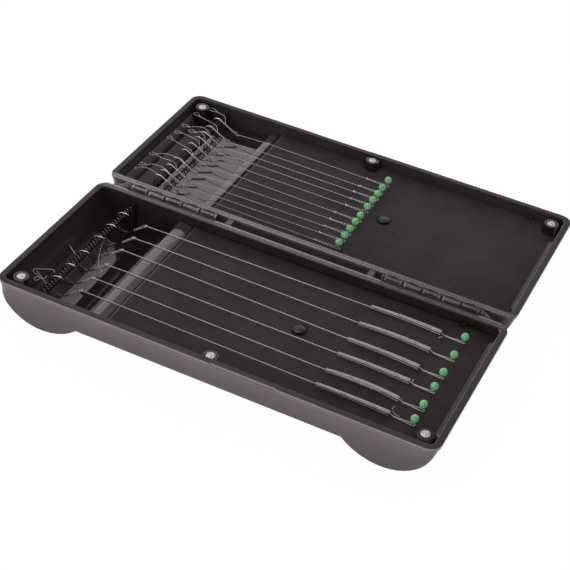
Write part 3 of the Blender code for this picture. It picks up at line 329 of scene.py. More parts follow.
def shell_plastic(side, rim_height, middle, pillars):
    outside_colours = ((0.2, 0.174, 0.184), (0.178, 0.154, 0.164))
    # painted shade: the outer wall darkens towards its foot
    shaded_foot_colour = (0.112, 0.1, 0.104)
    foot_height = 27.0
    highlight_line_colour = (0.4, 0.365, 0.375)
    edge_heights = (31.2, 28.1)  # of the painted highlight lines: the rim's lower edge and the bead below it
    half_edge = 0.35
    cloud_width = 26.0
    # painted light: the lid's lining is lighter than the base's, as it is lit more
    inside_colours = {"base": ((0.026, 0.021, 0.019), (0.033, 0.027, 0.025)),
                      "lid": ((0.044, 0.037, 0.034), (0.054, 0.046, 0.043))}[side]
    end_colour = (0.05, 0.042, 0.044)  # of the inner wall that faces the light
    rim_colours = ((0.018, 0.015, 0.016), (0.025, 0.021, 0.022))
    rim_depth = (1.6, 0.3)  # under the rim's top, where its finish starts and is whole
    gap_reach = (8.2, 7.4)  # from the hinge line, where the painted shade in the gap starts and is whole
    hinge_paint_reach = (10.2, 9.6)  # of the painted light and shade on the hinge rims, likewise
    pillar_colour = (0.012, 0.01, 0.01)  # in the shade round the magnets' pillars
    gap_shade_colour = (0.02, 0.017, 0.016)  # painted shade in the gap beside the knuckles
    high_above = 80.0  # every inner face looks at a point this high, every outer one away from it
    mat, shader, place = new_finish(side + "_shell_plastic", 0.4, specular=0.42)
    parts = axes_of(place)
    normal = axes_of(facing(place))
    outside = outside_share(place, (0.0, middle, high_above))
    on_rim = fade(parts["Z"], *(rim_height - depth for depth in rim_depth))
    lit_end = fade(normal["X"], -0.7, -0.95)
    lining = two_tones(lit_end, clouds(place, cloud_width, *inside_colours), end_colour)
    inside = two_tones(on_rim, lining, clouds(place, cloud_width, *rim_colours))
    # painted shade towards the foot of the outer wall
    foot = fade(parts["Z"], 0.0, foot_height)
    wall = two_tones(foot, shaded_foot_colour, clouds(place, cloud_width, *outside_colours))
    # painted highlights along the rim's lower edge and along the bead
    for height in edge_heights:
        on_highlight_line = band(parts["Z"], height - half_edge, height + half_edge, 0.3)
        wall = two_tones(on_highlight_line, wall, highlight_line_colour)
    for pillar in pillars:
        near = level_distance(parts["X"], parts["Y"], pillar)
        inside = two_tones(spread(near, 0.85, 0.0, 6.5, 9.0), inside, pillar_colour)
    colour = two_tones(outside, inside, wall)
    # painted highlight along the rim's inner edge that faces -X
    lit_corner = maths('MULTIPLY', on_rim, fade(normal["X"], -0.4, -0.6))
    colour = two_tones(lit_corner, colour, highlight_line_colour)
    from_hinge = maths('ABSOLUTE', parts["Y"])
    # painted shade in the gap along the hinge, deepest towards the top
    shaded_gap = maths('MULTIPLY', spread(from_hinge, 0.0, 0.8, *gap_reach), fade(parts["Z"], 15.0, 30.0))
    colour = two_tones(shaded_gap, colour, gap_shade_colour)
    # painted light and shade along the hinge rims and knuckles
    by_hinge = maths('MULTIPLY', fade(from_hinge, *hinge_paint_reach), fade(parts["Z"], 31.7, 32.2))
    fine = spread(grain(place, 1.3, 4.0), 0.0, 1.0)
    uneven = spread(grain(place, 4.0, 3.0), 0.1, 1.0, 0.42, 0.56)
    colour = two_tones(by_hinge, colour, hinge_tone(parts, fine, uneven))
    scuffs = spread(grain(place, 9.0, 3.0), 0.0, 0.05, 0.45, 0.75)
    polished = maths('ADD', spread(normal["Z"], 0.34, 0.05, 0.35, 0.7), scuffs)
    satin = maths('MAXIMUM', polished, maths('MULTIPLY', on_rim, 0.58))
    eroded = spread(parts["Z"], 0.58, 0.36, 20.0, 24.0)
    rough = maths('MAXIMUM', satin, maths('MULTIPLY', outside, eroded))
    painted(shader, colour, rough)
    texture = maths('MAXIMUM', outside, maths('MULTIPLY', on_rim, 0.5))
    relief(shader, maths('MULTIPLY', grain(place, 0.45, 1.0), texture), 0.05)
    return mat


def smooth_group():
    """A modifier's node group: flat facets of a round surface are shaded as one."""
    group = bpy.data.node_groups.new("round_surfaces", "GeometryNodeTree")
    for way in ('INPUT', 'OUTPUT'):
        group.interface.new_socket("Geometry", in_out=way, socket_type="NodeSocketGeometry")
    chain = [group.nodes.new(kind) for kind in
             ("NodeGroupInput", "GeometryNodeRemoveAttribute", "GeometryNodeSetShadeSmooth",
              "GeometryNodeSetShadeSmooth", "NodeGroupOutput")]
    for first, second in zip(chain, chain[1:]):
        group.links.new(first.outputs[0], second.inputs["Geometry"])
    forget, edges = chain[1], chain[3]
    forget.inputs["Name"].default_value = "custom_normal"
    edges.domain = 'EDGE'
    edges.inputs["Shade Smooth"].default_value = False
    angle = group.nodes.new("GeometryNodeInputMeshEdgeAngle")
    sharp = group.nodes.new("FunctionNodeCompare")
    sharp.operation = 'GREATER_THAN'
    sharp.inputs["B"].default_value = EDGE_ANGLE
    group.links.new(angle.outputs["Unsigned Angle"], sharp.inputs["A"])
    group.links.new(sharp.outputs[0], edges.inputs["Selection"])
    return group


round_surfaces = smooth_group()


def moulded(node, mat, edge_break):
    """Gives a moulded node its finish, smooth round surfaces and a broken edge."""
    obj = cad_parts[node]
    obj.data.materials.clear()
    obj.data.materials.append(mat)
    weld = obj.modifiers.new("weld", 'WELD')
    weld.merge_threshold = SAME_POINT
    obj.modifiers.new("round", 'NODES').node_group = round_surfaces
    bevel = obj.modifiers.new("broken_edge", 'BEVEL')
    bevel.width = edge_break
    bevel.segments = 2
    bevel.limit_method = 'ANGLE'
    bevel.angle_limit = EDGE_ANGLE
    bevel.use_clamp_overlap = True
    flat = obj.modifiers.new("flat_faces", 'WEIGHTED_NORMAL')
    flat.keep_sharp = True


def box_middle(node):
    low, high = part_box(node)
    return (low + high) / 2


SIGN = {"base": -1, "lid": 1}
RIDGE_DROP = 8.6  # of the base's ridge below the rim
ridge_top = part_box("base_liner")[1].z
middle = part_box("lid_tray")[1].y / MM / 2
shaded = {"base": (), "lid": [box_middle(f"lid_magnet_{n}").xy / MM for n in (1, 2, 3)]}
for side, sign in SIGN.items():
    finish = shell_plastic(side, ridge_top / MM + RIDGE_DROP, sign * middle, shaded[side])
    moulded(side + "_tray", finish, EDGE_BREAK)

# Floor liners
# A sheet of the same plastic, polished on top, pressed down over each tray's floor. Its raised
# ridge carries the links across; its top, and its wall by the foam, have painted light. In the lid it
# also turns up along the end wall, where it is dull and painted dark as shade.
def liner_plastic():
    floor_colours = ((0.022, 0.019, 0.02), (0.036, 0.032, 0.033))
    # painted light: the ridge's top is lighter than the floor of the same sheet
    lit_ridge_colours = ((0.088, 0.08, 0.082), (0.104, 0.095, 0.097))
    # painted shade on the sheet's end by the end wall
    end_shade_colour = (0.03, 0.026, 0.026)
    lit_foam_side_colour = (0.2, 0.185, 0.185)  # painted light on the ridge's wall that faces the foam, where shade falls
    end_wall, bend = -160.0, -139.0
    rise = 12.0  # of the sheet towards the end wall, which its shading follows
    mat, shader, place = new_finish("liner_plastic", 0.12, specular=0.78)
    parts = axes_of(place)
    # the end by the end wall: dull, and painted dark as shade
    altered_share = fade(parts["X"], bend, bend - 2.0)
    on_ridge = fade(parts["Z"], 17.5, 20.5)
    floor = clouds(place, 18.0, *floor_colours)
    ridge = clouds(place, 18.0, *lit_ridge_colours)
    colour = two_tones(altered_share, two_tones(on_ridge, floor, ridge), end_shade_colour)
    # painted light on the ridge's wall facing the foam
    colour = two_tones(fade(axes_of(facing(place))["X"], 0.8, 0.97), colour, lit_foam_side_colour)
    smears = spread(grain(place, 6.0, 4.0), 0.04, 0.1)
    painted(shader, colour, maths('MAXIMUM', smears, maths('MULTIPLY', altered_share, 0.3)))
    swell = maths('MULTIPLY', grain(place, 12.0, 1.0), 0.04)
    turned_up = spread(parts["X"], rise, 0.0, end_wall, bend)
    relief(shader, maths('ADD', swell, turned_up), 1.0)
    return mat


liner_finish = liner_plastic()
for side in SIGN:
    moulded(side + "_liner", liner_finish, EDGE_BREAK)

# Foam sheets
# Closed-cell foam cut to the floor of each tray, its top edge a little rounded and its straight end
# given a painted highlight. It rises and sinks slightly, with painted shade in a ring round the stud.
def foam_skin(cut_edge, stud_spot):
    plain_colours = ((0.039, 0.032, 0.035), (0.052, 0.043, 0.047))
    worn_colour = (0.06, 0.051, 0.056)
    stud_shade_colour = (0.008, 0.007, 0.008)
    cut_end_highlight_colour = (0.16, 0.15, 0.15)
    cell = 0.5
    mat, shader, place = new_finish("foam_skin", 0.88, specular=0.2)
    parts = axes_of(place)
    plain = clouds(place, 30.0, *plain_colours, 4.0)
    altered_share = fade(grain(place, 3.5, 8.0), 0.56, 0.75)
    colour = two_tones(altered_share, plain, worn_colour)
    from_stud = level_distance(parts["X"], maths('ABSOLUTE', parts["Y"]), stud_spot)
    # painted shade in a ring round the stud
    colour = two_tones(fade(from_stud, 6.5, 5.7), colour, stud_shade_colour)
    # painted highlight along the straight cut end
    colour = two_tones(fade(parts["X"], cut_edge + 1.5, cut_edge + 0.9), colour, cut_end_highlight_colour)
    painted(shader, colour)
    cells = new_node(place.id_data, "TexVoronoi", {"Vector": place, "Scale": 1 / cell})
    relief(shader, cells.outputs["Distance"], 0.06)
    shader.inputs["Sheen Weight"].default_value = 0.1
    shader.inputs["Sheen Roughness"].default_value = 0.5
    return mat


def new_piece(name, bm, mat, sharp_angle=EDGE_ANGLE):
    """A mesh piece from a bmesh, shaded smooth up to that angle."""
    mesh = bpy.data.meshes.new(name)
    bmesh.ops.recalc_face_normals(bm, faces=bm.faces)
    bm.to_mesh(mesh)
    bm.free()
    mesh.materials.append(mat)
    mesh.shade_smooth()
    mesh.set_sharp_from_angle(angle=sharp_angle)
    obj = bpy.data.objects.new(name, mesh)
    bpy.context.scene.collection.objects.link(obj)
    return obj


def foam_sheet(side, mat):
    """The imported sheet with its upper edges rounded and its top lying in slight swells."""
    edge_round = 0.7 * MM
    grid = 5.0 * MM
    swell = 0.16 * MM
    swell_width = 42.0 * MM
    low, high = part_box(side + "_foam")
    bm = bmesh.new()
    bm.from_mesh(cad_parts[side + "_foam"].data)
    bmesh.ops.remove_doubles(bm, verts=bm.verts, dist=SAME_POINT)
    bmesh.ops.dissolve_limit(bm, angle_limit=math.radians(1), verts=bm.verts, edges=bm.edges)
    brim = [e for e in bm.edges if len(e.link_faces) == 2 and e.calc_face_angle(0) > EDGE_ANGLE
            and all(v.co.z > high.z - 0.01 * MM for v in e.verts)]
    bmesh.ops.bevel(bm, geom=brim, offset=edge_round, segments=3, profile=0.5, affect='EDGES')
    bmesh.ops.triangulate(bm, faces=bm.faces)
    for axis in (0, 1):
        normal = Vector((1 - axis, axis, 0))
        for cut in np.arange(low[axis] + grid, high[axis], grid):
            everything = bm.verts[:] + bm.edges[:] + bm.faces[:]
            bmesh.ops.bisect_plane(bm, geom=everything, plane_co=normal * cut, plane_no=normal)
    for vert in bm.verts:
        if vert.co.z > high.z - edge_round:
            vert.co.z += swell * noise.noise(vert.co / swell_width)
    return new_piece(side + "_foam_sheet", bm, mat)


stud_spot = box_middle("lid_foam_stud").xy / MM
foam_finish = foam_skin(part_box("base_foam")[0].x / MM, stud_spot)
for side in SIGN:
    sheet = foam_sheet(side, foam_finish)
    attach(sheet, side)
    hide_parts(side + "_foam")

# Foam studs
# A turned plastic stud with a low domed head holds the middle of each sheet down. Its stem goes
# through the foam to the floor plate.
def turned(name, profile, mat, steps=40, sharp_angle=EDGE_ANGLE):
    """A solid of revolution about Z from (radius, height) points, the first and last on the axis."""
    bm = bmesh.new()
    rings = [[bm.verts.new((r * math.cos(a), r * math.sin(a), z))
              for a in np.linspace(0, 2 * math.pi, steps, endpoint=False)] for r, z in profile[1:-1]]
    ends = [bm.verts.new((0, 0, profile[end][1])) for end in (0, -1)]
    for i in range(steps):
        j = (i + 1) % steps
        bm.faces.new((ends[0], rings[0][j], rings[0][i]))
        bm.faces.new((ends[1], rings[-1][i], rings[-1][j]))
        for lower, upper in zip(rings, rings[1:]):
            bm.faces.new((lower[i], lower[j], upper[j], upper[i]))
    return new_piece(name, bm, mat, sharp_angle)


def stud_profile(head, seat, tall):
    """Half the outline of a stud: its stem, the round edge of its head, and the dome."""
    stem = 2.3 * MM
    edge = 0.5 * MM
    dome_start = math.radians(25)
    dome = tall - seat - edge
    profile = [(0, 0), (stem, 0), (stem, seat), (head - edge, seat)]
    profile += [(head - edge * (1 - math.cos(a)), seat + edge * (1 + math.sin(a)) / 2)
                for a in np.linspace(-math.pi / 2, math.pi / 2, 5)]
    profile += [(head * math.cos(a), seat + edge + dome * math.sin(a))
                for a in np.linspace(dome_start, math.pi / 2, 8)[:-1]]
    return profile + [(0, tall)]


def from_axis(place):
    """The distance from the piece's own upright axis, in millimetres."""
    parts = axes_of(place)
    return level_distance(parts["X"], parts["Y"], (0.0, 0.0))


def stud_plastic():
    dome_colours = ((0.017, 0.0135, 0.0145), (0.024, 0.0195, 0.021))
    brim_shade_colour = (0.003, 0.0025, 0.003)
    mat, shader, place = new_finish("stud_plastic", 0.36, specular=0.22)
    # painted shade round the outer edge of the head
    brim = fade(from_axis(place), 3.7, 4.3)
    colour = two_tones(brim, clouds(place, 2.0, *dome_colours), brim_shade_colour)
    painted(shader, colour, spread(grain(place, 1.2, 4.0), 0.22, 0.36))
    relief(shader, grain(place, 0.8), 0.015)
    return mat


HEAD_LIFT = 0.25 * MM  # off the foam
stud_finish = stud_plastic()
for side in SIGN:
    node = side + "_foam_stud"
    low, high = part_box(node)
    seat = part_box(side + "_foam")[1].z + HEAD_LIFT - low.z
    profile = stud_profile((high.x - low.x) / 2, seat, high.z - low.z)
    stud = turned(side + "_stud", profile, stud_finish)
    stud.location = (*box_middle(node).xy, low.z)
    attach(stud, side)
    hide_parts(node)

# Magnets
# Nickel-plated discs pressed into the three pillars of each half, which hold the box shut. The
# plating is mottled with wear, the rim is broken, and a darker ring runs round each disc near its edge.
def magnet_nickel():
    clean_colours = ((0.88, 0.85, 0.865), (0.56, 0.54, 0.55))
    worn_colour = (0.33, 0.315, 0.32)
    dark_ring_colour = (0.12, 0.115, 0.115)
    mat, shader, place = new_finish("magnet_nickel", 0.22, metallic=1.0)
    clean = fade(grain(place, 1.2, 3.0), 0.44, 0.56)
    colour = two_tones(clean, worn_colour, clouds(place, 1.5, *clean_colours, 4.0))
    # a darker ring 3.5 to 4 mm from the middle of the disc
    dark_ring = band(from_axis(place), 3.5, 4.0, 0.4)
    colour = two_tones(dark_ring, colour, dark_ring_colour)
    painted(shader, colour, spread(grain(place, 0.9, 5.0), 0.46, 0.62))
    inputs = {"Vector": place, "Scale": 1.6, "Distortion": 0.5}
    rings = new_node(place.id_data, "TexWave", inputs, wave_type='RINGS', rings_direction='Z')
    relief(shader, rings.outputs["Fac"], 0.012)
    return mat


def disc_profile(radius, tall):
    """Half the outline of a disc whose upper edge is rounded over and whose lower one is cut."""
    across = 0.9 * MM
    drop = 0.45 * MM
    edge = [(radius - across * (1 - math.cos(a)), tall - drop + drop * math.sin(a))
            for a in np.linspace(0, math.pi / 2, 5)]
    return [(0, 0), (radius - drop, 0), (radius, drop)] + edge + [(0, tall)]


magnet_finish = magnet_nickel()
for side in SIGN:
    for number in (1, 2, 3):
        node = f"{side}_magnet_{number}"
        low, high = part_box(node)
        profile = disc_profile((high.x - low.x) / 2, high.z - low.z)
        disc = turned(f"{side}_magnet_disc_{number}", profile, magnet_finish, steps=48)
        disc.location = (*box_middle(node).xy, low.z)
        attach(disc, side)
        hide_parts(node)

# Hinge rods
# Two drawn steel rods run through the knuckles and end blind in the base's end lugs. Only their
# inner ends show.
def drawn_steel(name, colour, roughness):
    mat, shader, place = new_finish(name, roughness, metallic=1.0)
    dull = tuple(0.7 * part for part in colour)
    worn = spread(grain(place, 0.5, 3.0), roughness * 0.7, roughness * 1.4)
    painted(shader, clouds(place, 0.8, colour, dull, 4.0), worn)
    relief(shader, grain(place, 0.25), 0.008)
    return mat


ROD_EDGE_BREAK = 0.15 * MM
rod_finish = drawn_steel("rod_steel", (0.5, 0.5, 0.49), 0.35)
for number in (1, 2):
    moulded(f"hinge_rod_{number}", rod_finish, ROD_EDGE_BREAK)

# Springs
# One stretched coil of tarnished spring steel across each pocket, that the hook bends sit in. Its
# last turns close in and run straight to the anchor ribs at both walls.
CURLS = 34
SPRING_WIRE = 1.1 * MM
COIL_RADIUS = 2.25 * MM
# painted shade: the lid's spring is darker than the base's, as it lies in more shade
SPRING_TONES = {"base": (0.12, 0.114, 0.116), "lid": (0.08, 0.075, 0.075)}


def wound_wire(name, routes, mat, radius, radii=None, roundness=3):
    """Round wire along one or more routes, with its own radius at each point if given."""
    curve = bpy.data.curves.new(name, 'CURVE')
    curve.dimensions = '3D'
    curve.bevel_depth = radius
    curve.bevel_resolution = roundness
    curve.use_fill_caps = True
    for number, route in enumerate(routes):
        spline = curve.splines.new('POLY')
        spline.points.add(len(route) - 1)
        spline.use_smooth = True
        for index, point in enumerate(route):
            spline.points[index].co = (*point, 1.0)
            if radii is not None:
                spline.points[index].radius = radii[number][index] / radius
    curve.materials.append(mat)
    obj = bpy.data.objects.new(name, curve)
    bpy.context.scene.collection.objects.link(obj)
    return obj


def spring_route(side):
    points_a_turn = 16
    straight = 1.2 * MM  # at each wall
    drawn_out = 4 * SPRING_WIRE  # length of the half turn that closes in
    closed_radius = 0.2 * COIL_RADIUS
    low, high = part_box(side + "_spring")
    middle = box_middle(side + "_spring")
    start = low.y + straight + drawn_out
    end = high.y - straight - drawn_out
    route = [Vector((middle.x, low.y, middle.z))]
    closing = points_a_turn // 2
    for i in range(-closing, CURLS * points_a_turn + closing + 1):
        past = max(-i, i - CURLS * points_a_turn, 0) / closing
        radius = COIL_RADIUS + (closed_radius - COIL_RADIUS) * past
        inside = min(max(i / (CURLS * points_a_turn), 0), 1)
        sign = -1 if i < 0 else 1
        y = start + (end - start) * inside + sign * past * drawn_out
        angle = 2 * math.pi * i / points_a_turn
        route.append(Vector((middle.x + radius * math.cos(angle), y, middle.z + radius * math.sin(angle))))
    return route + [Vector((middle.x, high.y, middle.z))]


for side in SIGN:
    spring_finish = drawn_steel(side + "_spring_wire", SPRING_TONES[side], 0.12)
    coil = wound_wire(side + "_coil", [spring_route(side)], spring_finish, SPRING_WIRE / 2)
    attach(coil, side)
    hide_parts(side + "_spring")

# Ball-headed pins
# Steel pins with a green plastic ball, pushed into the foam to hold the ends of the links. Each
# one slides in and out by itself, and its ball ends in a short neck where it was dipped.
PINS = {"base": 6, "lid": 10}
BALL_RADIUS = 3.0 * MM
NECK_ANGLE = math.radians(60)  # between the ball and its neck, which meet softly


def ball_plastic():
    green_colours = ((0.085, 0.56, 0.145), (0.15, 0.7, 0.21))
    pearl_colour = (0.62, 0.95, 0.58)
    light_reach = (0.6 * MM, 1.6 * MM, 0.6 * MM)  # inside the plastic
    mat, shader, place = new_finish("ball_green_plastic", 0.2)
    pearl = fade(grain(place, 1.1, 4.0), 0.47, 0.66)
    colour = two_tones(pearl, clouds(place, 1.6, *green_colours), pearl_colour)
    painted(shader, colour, spread(grain(place, 0.8, 3.0), 0.14, 0.34))
    relief(shader, grain(place, 1.1, 1.0), 0.02)
    shader.inputs["Subsurface Weight"].default_value = 0.25
    shader.inputs["Subsurface Radius"].default_value = light_reach
    shader.inputs["Coat Weight"].default_value = 0.8
    shader.inputs["Coat Roughness"].default_value = 0.08
    return mat


def ball_profile(centre):
    """Half the outline of a ball and of the neck under it."""
    neck = 0.95 * MM
    bottom = centre - BALL_RADIUS - 0.5 * MM
    profile = [(0, bottom), (neck * 0.7, bottom)]
    profile += [(BALL_RADIUS * math.sin(a), centre - BALL_RADIUS * math.cos(a))
                for a in np.linspace(math.asin(neck / BALL_RADIUS), math.pi, 15)[:-1]]
    return profile + [(0, centre + BALL_RADIUS)]


def shaft_profile(top):
    """Half the outline of a shaft, from its ground point up."""
    radius = 0.5 * MM
    point = [(0, 0), (0.15 * MM, 0.3 * MM), (radius, 1.3 * MM)]
    return point + [(radius, top), (0, top)]


ball_finish = ball_plastic()
pin_finish = drawn_steel("pin_steel", (0.6, 0.6, 0.58), 0.3)
for side, count in PINS.items():
    for number in range(1, count + 1):
        node = f"{side}_pin_{number}"
        low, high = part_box(node)
        centre = high.z - low.z - BALL_RADIUS
        head = turned(f"{side}_ball_{number}", ball_profile(centre), ball_finish, steps=28,
                      sharp_angle=NECK_ANGLE)
        shank = turned(f"{side}_shaft_{number}", shaft_profile(centre - BALL_RADIUS), pin_finish, steps=14)
        for piece in (head, shank):
            piece.location = (*box_middle(node).xy, low.z)
            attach(piece, node)
        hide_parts(node)

# Hooks
# Forged wire hooks with a ground point, a cut barb and an eye turned out of the same wire, in dark
# nickel with a painted highlight high up that fades out low in the pocket. The base's six hang under
# their spring and the lid's ten lie over theirs.
HOOK_RADIUS = 0.42 * MM
EYE_RADIUS = 1.05 * MM
HOOK_ROWS = {"base": (28.6, 46.4, 63.8, 84.9, 103.3, 120.2),  # millimetres from the hinge line
             "lid": (28.6, 36.9, 46.1, 57.9, 71.7, 83.0, 94.2, 103.2, 113.6, 127.9)}
BEND_RADIUS = {"base": 8.6 * MM, "lid": 4.9 * MM}
BEND_OFFSET = {"base": (3.1 * MM, -4.1 * MM), "lid": (0.4 * MM, 0.9 * MM)}  # from the spring
BEND_ANGLES = {"base": (66, 309), "lid": (268, 67)}  # from the point round to the shank
SHANK = {"base": 14.2 * MM, "lid": 17.0 * MM}
SHANK_SLANT = {"base": 0.0, "lid": -2.3 * MM}
POINT_LENGTH = 4.0 * MM


def hook_nickel():
    black_nickel_colours = ((0.15, 0.147, 0.15), (0.27, 0.265, 0.262))
    lit_top_colour = (0.82, 0.8, 0.77)
    mat, shader, place = new_finish("hook_black_nickel", 0.24, metallic=1.0)
    # painted highlight on the hooks' upper parts, fading out lower down
    lit_high = fade(axes_of(place)["Z"], 21.0, 27.0)
    colour = two_tones(lit_high, clouds(place, 1.2, *black_nickel_colours, 4.0), lit_top_colour)
    painted(shader, colour, spread(grain(place, 0.6, 4.0), 0.14, 0.3))
    relief(shader, grain(place, 0.3), 0.006)
    return mat


class Hook:
    """The centre line of a hook in the upright plane through its row, and its shank's two ends."""

    def __init__(self, side, row):
        self.side = side
        self.radius = BEND_RADIUS[side]
        first, last = (math.radians(a) for a in BEND_ANGLES[side])
        self.first = first
        self.turning = math.copysign(1, last - first)
        self.heading = last + self.turning * math.pi / 2
        self.ahead = Vector((math.cos(self.heading), 0, math.sin(self.heading)))
        spring = box_middle(side + "_spring")
        dx, dz = BEND_OFFSET[side]
        self.centre = Vector((spring.x + dx, SIGN[side] * row, spring.z + dz))
        self.bend = [self.on_bend(a, self.radius) for a in np.linspace(first, last, 36)]
        self.shank_start = self.bend[-1]
        slant = Vector((0, SIGN[side] * SHANK_SLANT[side], 0))
        self.shank_end = self.shank_start + self.ahead * SHANK[side] + slant
        self.eye = self.shank_end + self.ahead * EYE_RADIUS

    def on_bend(self, angle, radius):
        return self.centre + Vector((radius * math.cos(angle), 0, radius * math.sin(angle)))

    def on_shank(self, share):
        return self.shank_start.lerp(self.shank_end, share)

    def eye_turn(self, turns, pitch):
        """Points of the eye, which starts at the shank and moves sideways by the pitch in a turn."""
        points = []
        for share in np.linspace(0, turns, round(turns * 20) + 1)[1:]:
            a = self.heading + math.pi + 2 * math.pi * share
            round_eye = Vector((math.cos(a), 0, math.sin(a))) * EYE_RADIUS
            points.append(self.eye + round_eye + Vector((0, SIGN[self.side] * pitch * share, 0)))
        return points

    def barb(self):
        """The sliver raised from the wire behind the point, on the inside of the bend."""
        behind = 3.4 * MM
        length = 1.3 * MM
        rise = 0.55 * MM
        root = self.first + self.turning * behind / self.radius
        tip = root + self.turning * length / self.radius
        return [self.on_bend(root, self.radius - HOOK_RADIUS / 2),
                self.on_bend(tip, self.radius - HOOK_RADIUS - rise)]


BARB_RADII = [0.3 * MM, 0.05 * MM]
hook_finish = hook_nickel()
hooks = {}
for side, rows in HOOK_ROWS.items():
    for number, row in enumerate(rows, 1):
        hook = Hook(side, row * MM)
        route = hook.bend + [hook.on_shank(share) for share in (0.25, 0.5, 0.75, 1.0)]
        route += hook.eye_turn(1.05, 2.15 * HOOK_RADIUS)
        run = np.cumsum([0] + [(b - a).length for a, b in zip(route, route[1:])])
        radii = [HOOK_RADIUS * min(0.12 + 0.88 * math.sqrt(along / POINT_LENGTH), 1.0) for along in run]
        wire = wound_wire(f"{side}_hook_{number}", [route, hook.barb()], hook_finish, HOOK_RADIUS,
                          [radii, BARB_RADII])
        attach(wire, side)
        hooks[side, number] = hook

# Links and whippings
# Each hook is whipped with pale thread and tied to a braided link that is pulled over the ridge to
# a knotted loop round its pin. The base's links are nearly plain and bow a little in their sleeves.
LINK_RADIUS = {"base": 0.28 * MM, "lid": 0.26 * MM}
LINK_HEIGHT = 0.6 * MM  # above the foam
OVER_RIDGE = {"base": -95.8 * MM, "lid": -91.0 * MM}
KNOT_BACK = {"base": (14.2,) * 6,
             "lid": (20.2, 20.3, 20.9, 20.6, 21.7, 17.9, 18.7, 20.2, 19.8, 18.2)}  # from the pin
KNOT_LENGTH = 2.1 * MM
KNOT_RADIUS = 0.36 * MM
LOOP_START = 1.9 * MM  # within the knot
EYE_KNOT_LENGTH = 1.7 * MM
EYE_KNOT_RADIUS = 0.4 * MM
LOOP_WIDTHS = {"base": (1.8, 1.8, 1.8, 1.8, 2.4, 2.2),
               "lid": (2.4, 2.2, 2.6, 2.2, 2.5, 2.4, 2.2, 2.6, 2.3, 2.4)}
SLEEVE_BOWS = (1.0, 1.3, 0.9, 0.7, 2.1, 0.5)  # sideways at mid length, in millimetres
THREAD = 0.2 * MM  # radius
THREAD_PITCH = 2.1 * THREAD
BOUND_LENGTH = 10.6 * MM
TIE_RADIUS = 0.26 * MM
WRAP_RADIUS = 0.5 * MM
STRIPE = 0.31  # millimetres between stripes at a scale of 1


def striped(place, direction, scale, wander=0.0, detail=2.0):
    """Soft stripes across one direction, from 0 to 1."""
    inputs = {"Vector": place, "Scale": scale, "Distortion": wander, "Detail": detail}
    return new_node(place.id_data, "TexWave", inputs, bands_direction=direction).outputs["Fac"]


def braided_line():
    twist_colours = ((0.27, 0.263, 0.265), (1.0, 0.985, 0.99))
    plain_colour = (0.86, 0.845, 0.845)
    mat, shader, place = new_finish("braided_line", 0.6, specular=0.35)
    parts = axes_of(place)
    twist = two_tones(striped(place, 'X', STRIPE / 2.4, 1.4, 1.0), *twist_colours)
    near_pins = spread(parts["X"], 0.0, 0.75, 122.0, 126.0)
    in_base = spread(parts["Y"], 0.7, 0.0, -1.0, 1.0)
    plain = maths('MAXIMUM', near_pins, in_base)
    painted(shader, two_tones(plain, twist, plain_colour))
    relief(shader, striped(place, 'DIAGONAL', 0.9), 0.05)
    return mat


def whipping_thread():
    turn_colours = ((0.12, 0.118, 0.11), (0.85, 0.84, 0.8))
    mat, shader, place = new_finish("whipping_thread", 0.55, specular=0.4)
    turns = striped(place, 'X', STRIPE / 1.5, 2.0, 1.0)
    painted(shader, two_tones(turns, *turn_colours))
    relief(shader, grain(place, 0.15), 0.02)
    return mat


def knot_thread():
    pale_colours = ((0.72, 0.71, 0.68), (0.96, 0.95, 0.92))
    mat, shader, place = new_finish("knot_thread", 0.5, specular=0.4)
    painted(shader, clouds(place, 0.5, *pale_colours))
    relief(shader, grain(place, 0.15), 0.02)
    return mat


def coil_round(start, end, radius, turns, points_a_turn=10):
    """A helix round the straight line between two points."""
    axis = end - start
    side_way = axis.cross(Vector((0, 0, 1))).normalized()
    up_way = side_way.cross(axis).normalized()
    route = []
    for share in np.linspace(0, 1, round(turns * points_a_turn) + 1):
        a = 2 * math.pi * turns * share
        route.append(start + axis * share + (side_way * math.cos(a) + up_way * math.sin(a)) * radius)
    return route


def smooth_route(points, spacing=0.5 * MM):
    """A Catmull-Rom curve through the points, in even short steps."""
    ends = [2 * points[0] - points[1]] + points + [2 * points[-1] - points[-2]]
    route = []
    for a, b, c, d in zip(ends, ends[1:], ends[2:], ends[3:]):
        steps = max(2, round((c - b).length / spacing))
        for t in np.linspace(0, 1, steps, endpoint=False):
            pull = b * 2 + (c - a) * t + (a * 2 - b * 5 + c * 4 - d) * t ** 2
            route.append((pull + (b * 3 - a - c * 3 + d) * t ** 3) / 2)
    return route + [points[-1]]


def barrel_knot(start, end, turns):
    """The tight turns of a line round itself, drawn in at both ends."""
    return [start] + coil_round(start, end, KNOT_RADIUS, turns) + [end]


def pin_loop(start, pin, half_width, height):
    """The loop from a knot round a pin and back, in a level plane."""
    shares = ((0.04, 0.2), (0.3, 0.45), (0.62, 0.75), (0.88, 0.98), (1.0, 0.95))
    tip_width = 0.92
    along = pin - start
    along.z = 0
    length = along.length
    along.normalize()
    across = Vector((-along.y, along.x, 0)) * half_width
    half = [start + along * length * s + across * w for s, w in shares]
    tip = [start + along * (length + half_width * math.sin(a)) + across * tip_width * math.cos(a)
           for a in np.radians((30, 60, 90, 120, 150))]
    back = [start + along * length * s - across * w for s, w in reversed(shares)]
    ring = [start] + half + tip + back + [start]
    return [Vector((p.x, p.y, height)) for p in ring]


def row_point(start, end, x, z, aside=0.0):
    """A point at that X and Z on the straight row between two points, or beside it."""
    return Vector((x, start.y + (end.y - start.y) * (x - start.x) / (end.x - start.x) + aside, z))


